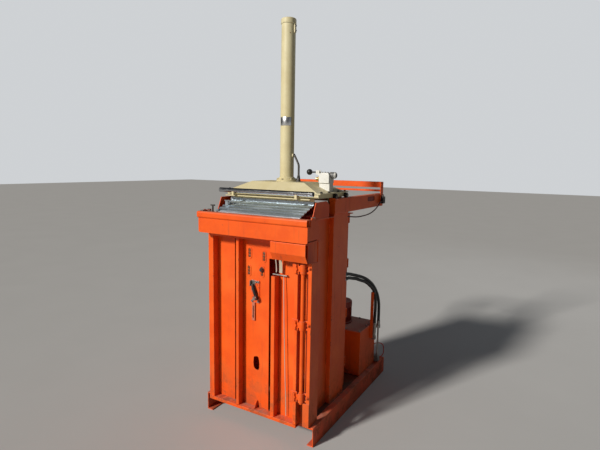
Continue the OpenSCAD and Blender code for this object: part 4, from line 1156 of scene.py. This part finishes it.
@dataclass
class Cylinder(Assembly):
    """The press cylinder, its flange, its pipe and the hand valve."""

    body: str = "head"
    centre_y: float = 300.0
    port_z: float = 1596.0
    cap_low: float = 2352.0
    lug_face: float = 47.5
    pipe_x: float = 83.0
    valve_x: float = 214.0
    spindle_z: float = 1500.0

    def build(self) -> None:
        """Builds the cylinder and the valve."""
        self.take_over("cylinder_tube", Finish.CREAM, "cylinder_barrel", 1.2, angle=25)
        self.take_over("cylinder_cap", Finish.CREAM, "cylinder_end_cap", 1.4, angle=25)
        self.take_over("cylinder_flange", Finish.CREAM, "gland_flange", 1, angle=25)
        self._label_plate()
        self._rings()
        self._pipe()
        self._valve()
        self._lever()

    def _label_plate(self) -> None:
        """The bare curved plate on the tube, rolled to its radius and riveted at its corners."""
        axis = Vector((0, self.centre_y, 0))
        low, high, inner, outer = 1769, 1818, 41.6, 42.6
        first, sweep, inset = math.radians(-38), math.radians(101), 0.10
        side = Vector((math.sin(first), -math.cos(first), 0))
        corners = ((low, inner), (low, outer), (high, outer), (high, inner), (low, inner))
        plate = Bench.line([axis + side * r + Vector((0, 0, z)) for z, r in corners])
        bpy.ops.mesh.remove_doubles(threshold=2e-6)
        bpy.ops.mesh.select_all(action="SELECT")
        bpy.ops.mesh.spin(steps=28, angle=sweep, center=at(*axis), axis=DOWN)
        bpy.ops.mesh.select_all(action="SELECT")
        bpy.ops.mesh.fill_holes(sides=6)
        parts = [Bench.roll(Bench.close_up(plate), 0.3, 2, 50)]
        for turn in (first + inset, first + sweep - inset):
            way = Vector((math.sin(turn), -math.cos(turn), 0))
            parts += [Bench.turned([(0, 1.9), (0.7, 1.6), (1, 0)],
                                   axis + way * outer + Vector((0, 0, z)), way, 12)
                      for z in (low + 5, high - 5)]
        self.finish(parts, "bare_label_plate", Finish.PLATE)

    def _rings(self) -> None:
        """The weld rings at the cap and the flange, the bleed lug's bolts and the washers."""
        axis = (0, self.centre_y, 0)
        rings = [[(z - 4, 41.2), (z - 2.5, 44), (z, 45.2), (z + 2.5, 44), (z + 4, 41.2)]
                 for z in (1464.5, self.cap_low - 2.5)]
        rings.append([(1440, 60), (1440, 65.5), (1442.5, 65), (1444, 61.8)])
        self.finish([Bench.turned(ring, axis, UP, 64) for ring in rings], "cylinder_weld_rings",
                    Finish.CREAM, smooth=SOFT)
        self.bolts("bleed_bolts", [(self.lug_face, self.centre_y, z) for z in (2307, 2333)], RIGHT,
                   (9, 5), Finish.DARK)
        step, circle = Vector((0, self.centre_y, 1452)), 55.6
        washer = [(0, 0), (0, 5.6), (1.2, 5.6), (1.2, 0)]
        self.finish([Bench.turned(washer, step + way * circle, UP, 20)
                     for way in Bench.ring(6, math.pi / 6)], "flange_washers", Finish.STEEL)

    def _pipe(self) -> None:
        """The steel pipe with its nut and ferrule at both ends."""
        self.take_over("pressure_pipe", Finish.DARK, "steel_pipe", 0, angle=40)
        x, y, level = self.pipe_x, self.centre_y, self.port_z
        nuts = [Bench.rod((self.lug_face, y, level), (53, y, level), 10.5, HEX),
                Bench.rod((x, y, 1466), (x, y, 1474), 8.8, HEX),
                Bench.rod((x, y, 1474), (x, y, 1480), 7.6, 24, 6.6)]
        self.finish(Bench.roll(Bench.join(nuts), 0.8), "pipe_nuts", Finish.DARK, smooth=CRISP)

    def _valve(self) -> None:
        """The valve block with its screws, spool cap ring and brass unions."""
        self.take_over("valve_block", Finish.WHITE, "valve_body", 2.2, 3)
        cap = Bench.turned([(0, 0), (0, 16.5), (1, 18.4), (3, 18.6), (21, 18.6), (24.5, 17),
                            (25.5, 15), (26.2, 14.5), (26.2, 12.5), (30, 12), (31.5, 10),
                            (31.5, 0)], (302, self.centre_y, 1484), RIGHT, 40)
        self.finish(cap, "spool_cap", Finish.GREY)
        screw = [(0, 0), (0, 4.6), (4, 4.6), (4.6, 4), (4.6, 2.2), (2, 1.8), (2, 0)]
        self.finish([Bench.turned(screw, (x, y, 1498), UP, 18) for x in (254, 288)
                     for y in (280, 316)], "valve_screws", Finish.BRIGHT)
        unions = []
        for y, z in ((282, 1462), (314, 1454)):
            unions += [Bench.rod((226.5, y, z), (237.5, y, z), 15.6, HEX),
                       Bench.turned([(0, 0), (0, 8.5), (1.5, 9.8), (12, 9.8),
                                     (15, 8), (15, 0)], (226.5, y, z), LEFT, 24)]
        self.finish(Bench.roll(Bench.join(unions), 0.7), "brass_unions", Finish.BRASS, smooth=CRISP)

    def _lever(self) -> None:
        """The hand lever: a tapered rod, a hub and a ball knob."""
        pivot = Vector((self.valve_x, self.centre_y, self.spindle_z))
        rod = Bench.turned([(0, 0), (0, 4.2), (4, 4.6), (40, 4.6), (44, 5.2), (46, 0)],
                           pivot + Vector((-4, 0, 0)), LEFT, 24)
        middle, radius = 56, 17.5
        arc = [math.radians(-66 + k * 13) for k in range(13)]
        knob = [(middle + radius * math.sin(turn), radius * math.cos(turn)) for turn in arc]
        ball = Bench.turned([(38.6, 0), *knob, (middle + radius, 0)], pivot, LEFT, 40)
        hub = Bench.turned([(0, 4.05), (0, 7), (0.6, 7.5), (10.4, 7.5), (11, 7), (11, 4.05),
                            (0, 4.05)], pivot + Vector((0, -5.5, 0)), BACK, 32)
        self.finish([ball, rod, hub], "hand_lever", Finish.BLACK, "lever", ["valve_lever"])


@dataclass
class PowerPack(Assembly):
    """The oil tank, motor, hose stand and fittings."""

    motor: tuple[float, float] = (130.0, 850.0)
    foot: float = 426.0
    pressure_end: tuple[float, float] = (360.0, 1010.0)
    return_end: tuple[float, float] = (359.0, 934.0)
    wall_ports: tuple[Point, ...] = ((314.0, 480.0, 860.0), (314.0, 480.0, 832.0))

    def build(self) -> None:
        """Builds the power pack."""
        self.take_over("tank", Finish.ORANGE, "oil_tank", 3, 3)
        self.take_over("tank_lid", Finish.LID, "oil_tank_lid", 1.8)
        self.take_over("hose_stand", Finish.ORANGE, "hose_stand_angle", 1)
        self._motor()
        self._cap()
        self._ferrules()
        self._port_blocks()
        places = [(x, y, self.foot) for x in (-45, 50, 230, 330) for y in (724, 971)]
        places += [(x, 850, self.foot) for x in (-45, 330)]
        self.bolts("lid_bolts", places, UP, (11, 6, 9))

    def _motor(self) -> None:
        """The finned motor with its fan cowl, terminal box and screws."""
        x, y = self.motor
        base = Vector((x, y, self.foot))
        body = Bench.turned([(0, 0), (0, 83.5), (1.5, 85), (8.5, 85), (10, 83.5), (10, 74),
                             (14, 71.5), (118, 71.5), (118, 0)], base, UP, 64)
        cowl = Bench.turned([(116, 0), (116, 78), (117.5, 80), (148, 80), (153, 78.5), (157.5, 73),
                             (160, 64), (160, 46), (157.5, 45), (157.5, 34), (160, 33), (160, 22),
                             (157.5, 21), (157.5, 12), (160, 11), (160, 0)], base, UP, 64)
        fins = []
        low, high = base + Vector((0, 0, 16)), base + Vector((0, 0, 114))
        for way in Bench.ring(36):
            side = Vector((-way.y, way.x, 0))
            root, tip = way * 70 - side * 1.6, way * 78.5 - side * 1
            fins.append(Bench.plate([low + root, low + tip, high + tip, high + root], side * 2.6))
        box = Bench.roll(Bench.box((x - 106, y - 38, self.foot + 40),
                                   (x - 66, y + 38, self.foot + 98)), 4, 3)
        cover = Bench.roll(Bench.box((x - 106, y - 38, self.foot + 98),
                                     (x - 64, y + 38, self.foot + 102)), 1.5, 2)
        self.finish([body, cowl, *fins, box, cover], "finned_motor", Finish.MAROON,
                    replaces=["motor"])
        screws = [Bench.bolt((x - dx, y + dy, self.foot + 102), UP, 7, 4)
                  for dx in (100, 70) for dy in (-32, 32)]
        screws += [Bench.bolt(base + way * 79 + Vector((0, 0, 10)), UP, 9, 6)
                   for way in Bench.ring(4, math.pi / 4)]
        self.finish(screws, "motor_screws", Finish.BRIGHT, smooth=CRISP)

    def _cap(self) -> None:
        """The breather cap: a neck, a fluted cap and a top button."""
        base = Vector((30, 925, self.foot))
        neck = Bench.turned([(0, 0), (0, 22.5), (1, 23), (13, 23), (14, 22.5), (14, 0)],
                            base, UP, 32)
        flutes = [Bench.rod(base + way * 28.2 + Vector((0, 0, 15)),
                            base + way * 28.2 + Vector((0, 0, 35)), 1.8, 8)
                  for way in Bench.ring(24)]
        cap = Bench.turned([(14.2, 0), (14.2, 27), (15.5, 28.5), (34.5, 28.5), (36.5, 26),
                            (37.5, 20), (42, 16), (42, 0)], base, UP, 40)
        self.finish([neck, cap, *flutes], "breather_cap", Finish.BLACK, replaces=["filler_cap"])

    def _ferrules(self) -> None:
        """The crimped ferrules at both ends of both hoses."""
        crimp, pitch = [(0, 0), (0, 11)], 12
        for k in range(6):
            crimp += [(3 + k * pitch, 13), (9 + k * pitch, 13),
                      (11 + k * pitch, 11.8), (13.5 + k * pitch, 11.8)]
        crimp += [(80, 11.8), (80, 0)]
        middle = [(0, 0), (0, 12.2), (2, 13), (12, 13), (14, 11.8),
                  (18, 11.8), (20, 13), (30, 13), (32, 0)]
        short = [(0, 0), (0, 12.2), (1, 13), (14.5, 13), (16, 11.8), (16, 0)]
        parts = [Bench.turned(crimp, (*self.return_end, 430), DOWN, 32),
                 Bench.turned(middle, (*self.pressure_end, 424), DOWN, 32)]
        parts += [Bench.turned(short, port, BACK, 32) for port in self.wall_ports]
        self.finish(parts, "crimped_ferrules", Finish.ZINC)

    def _port_blocks(self) -> None:
        """The nuts and port blocks under the hoses, and the thin return pipe."""
        near, far = self.return_end, self.pressure_end
        nuts = [Bench.rod((*near, 350), (*near, 332), 11.2, HEX),
                Bench.rod((*far, 392), (*far, 370), 16, HEX),
                Bench.box((345, 922, 308), (371, 946, 332)),
                Bench.box((315, 985, 120), (374, 1024, 160))]
        for nut in nuts:
            Bench.roll(nut, 1.2)
        pipe = Bench.rod((*far, 160), (*far, 370), 6.5, 24)
        collar = Bench.turned([(0, 0), (0, 10), (1, 10.8), (12, 10.8), (14, 9), (18, 7), (18, 0)],
                              (*far, 160), UP, 28)
        self.finish([*nuts, pipe, collar], "port_blocks", Finish.ZINC, smooth=CRISP,
                    replaces=["hose_fittings"])


@dataclass
class Studio:
    """The floor, the lights and the photograph's camera."""

    eye: tuple[float, float, float] = (1.462, -2.535, 1.538)
    yaw: float = 30.40
    pitch: float = 7.55
    roll: float = 0.98
    lens: float = 27.032

    @staticmethod
    def add(name: str, data: bpy.types.ID) -> bpy.types.Object:
        """Adds a camera's or a lamp's object to the scene."""
        thing = bpy.data.objects.new(name, data)
        bpy.context.scene.collection.objects.link(thing)
        return thing

    def camera(self) -> None:
        """Places the camera where the photograph was taken from."""
        yaw, pitch, roll = (math.radians(a) for a in (self.yaw, self.pitch, self.roll))
        ahead = Vector((-math.sin(yaw) * math.cos(pitch), math.cos(yaw) * math.cos(pitch),
                        -math.sin(pitch)))
        right = Vector((math.cos(yaw), math.sin(yaw), 0))
        up = right.cross(ahead)
        across = right * math.cos(roll) + up * math.sin(roll)
        upright = up * math.cos(roll) - right * math.sin(roll)
        data = bpy.data.cameras.new("camera")
        data.lens = self.lens
        data.sensor_width = 36.0
        thing = self.add("camera", data)
        turn = Matrix((across, upright, -ahead)).transposed().to_4x4()
        thing.matrix_world = Matrix.Translation(Vector(self.eye)) @ turn
        bpy.context.scene.camera = thing

    def lights(self) -> None:
        """A soft key from the front left, weak fills, and a dim sky behind a pale backdrop."""
        target = Vector((0.0, 0.0, 0.9))
        for name, place, size, power, colour in (
                ("fill", (5.0, -1.6, 2.6), 3.6, 5.0, (0.86, 0.92, 1.0)),
                ("rear", (1.6, 4.6, 4.0), 3.0, 24.0, (0.90, 0.95, 1.0))):
            area = bpy.data.lights.new(name, "AREA")
            area.energy = power
            area.size = size
            area.color = colour
            thing = self.add(name, area)
            thing.location = place
            way = target - Vector(place)
            thing.rotation_euler = way.to_track_quat("-Z", "Y").to_euler()
        sun = bpy.data.lights.new("key", "SUN")
        sun.energy = 3.75
        sun.angle = math.radians(7)
        sun.color = (1.0, 0.96, 0.90)
        way = Vector((2.5, 6.2, -3.55))
        self.add("key", sun).rotation_euler = way.to_track_quat("-Z", "Y").to_euler()
        self._sky()
        bpy.context.scene.view_settings.view_transform = "Standard"

    @staticmethod
    def _sky() -> None:
        """A dim blue-grey sky for the machine, and a pale backdrop for the camera."""
        world = bpy.data.worlds.new("studio")
        bpy.context.scene.world = world
        world.use_nodes = True
        tree = world.node_tree
        sky = tree.nodes["Background"]
        backdrop = tree.nodes.new("ShaderNodeBackground")
        for node, colour, strength in ((sky, (0.80, 0.88, 1.0), 0.045),
                                       (backdrop, (0.62, 0.64, 0.66), 1.0)):
            plug(tree, node.inputs["Color"], colour)
            plug(tree, node.inputs["Strength"], strength)
        ray = tree.nodes.new("ShaderNodeLightPath")
        pick = tree.nodes.new("ShaderNodeMixShader")
        tree.links.new(ray.outputs["Is Camera Ray"], pick.inputs["Fac"])
        tree.links.new(sky.outputs[0], pick.inputs[1])
        tree.links.new(backdrop.outputs[0], pick.inputs[2])
        tree.links.new(pick.outputs[0], tree.nodes["World Output"].inputs["Surface"])

    @staticmethod
    def floor() -> None:
        """A plain pale floor, which isn't part of the machine."""
        Bench.clear()
        bpy.ops.mesh.primitive_plane_add(size=60, location=(0, 0, -0.0005))
        thing = bpy.context.object
        thing.name = "studio_floor"
        thing.data.materials.append(Finish.FLOOR.material())


CORDS = (
    Cord("pressure_hose", "hose_pressure", 21, Finish.RUBBER,
         ((314, 496, 860), (314, 530, 861), (312, 570, 853), (313, 620, 839), (322, 670, 824),
          (335, 722, 806), (348, 775, 782), (357, 832, 748), (360, 885, 710), (361, 935, 664),
          (361, 976, 612), (361, 1000, 556), (360, 1009, 500), (360, 1010, 450),
          (360, 1010, 424)), stiffness="stiff"),
    Cord("return_hose", "hose_return", 21, Finish.RUBBER,
         ((314, 496, 832), (314, 528, 832), (312, 568, 828), (313, 614, 816), (321, 662, 804),
          (334, 711, 785), (347, 763, 764), (356, 819, 730), (360, 871, 693), (360.5, 911, 652),
          (360.5, 930, 606), (360.5, 936, 560), (360, 936, 500), (359, 934, 450),
          (359, 934, 430)), stiffness="stiff"),
    Cord("switch_lead", "switch_cable", 8, Finish.LEAD,
         ((351, 995, 1296), (351, 980, 1293), (350.5, 962, 1284), (350, 938, 1270),
          (349, 905, 1254), (348, 860, 1239), (347, 805, 1228), (345, 745, 1222),
          (343, 685, 1220), (341, 625, 1220), (338, 573, 1223), (333, 535, 1227),
          (327, 508, 1230), (323, 493, 1231.5), (322, 480.2, 1232))),
    Cord("red_lead", "red_cable", 7, Finish.RED,
         ((332, 985.2, 240), (333, 1004, 240), (341, 1030, 240), (356, 1056, 236),
          (368, 1078, 226), (374, 1093, 208), (376, 1102, 184), (376, 1104.5, 160),
          (374, 1101, 140), (366, 1092, 124), (354, 1080, 118), (342, 1069, 117),
          (330, 1058, 113), (318, 1044, 110), (309, 1026, 109.8), (304, 1006, 109.8),
          (303, 985.2, 110.5)), lie="loose"),
    Cord("hanging_strap", "strap_tail", 5, Finish.STRAP,
         ((163, 22, 929.8), (165, 22, 900), (166.5, 20, 870), (168, 18, 830), (170, 17, 780),
          (171.5, 17, 720), (173, 17, 660), (175, 17, 600), (177, 17, 540), (179, 17, 480),
          (181, 17.5, 420), (183, 18, 360), (185, 19, 300), (187, 20.5, 240), (188, 22, 180),
          (189, 23, 118)), "door", "bare", "limp"),
)


def warn_of_plain(frame: dict[str, object]) -> None:
    """Logs each of the frame's nodes that no piece stands for.
    """
    nodes: dict[str, bpy.types.Object] = frame["nodes"]
    for name, thing in nodes.items():
        if not thing.hide_render:
            LOG.warning("node %s is still plain", name)


def main() -> None:
    """Builds the machine in order."""
    logging.basicConfig(level=logging.INFO, format="%(name)s: %(message)s")
    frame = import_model()
    studio = Studio()
    studio.camera()
    for cord in CORDS:
        cord.lay()
    assemblies: tuple[Callable[..., Assembly], ...] = (Frame, Door, Head, Cylinder, PowerPack)
    for kind in assemblies:
        kind(frame=frame).build()
        LOG.info("built %s", kind.__name__)
    warn_of_plain(frame)
    studio.lights()
    studio.floor()
    Bench.clear()


if __name__ == "__main__":
    main()
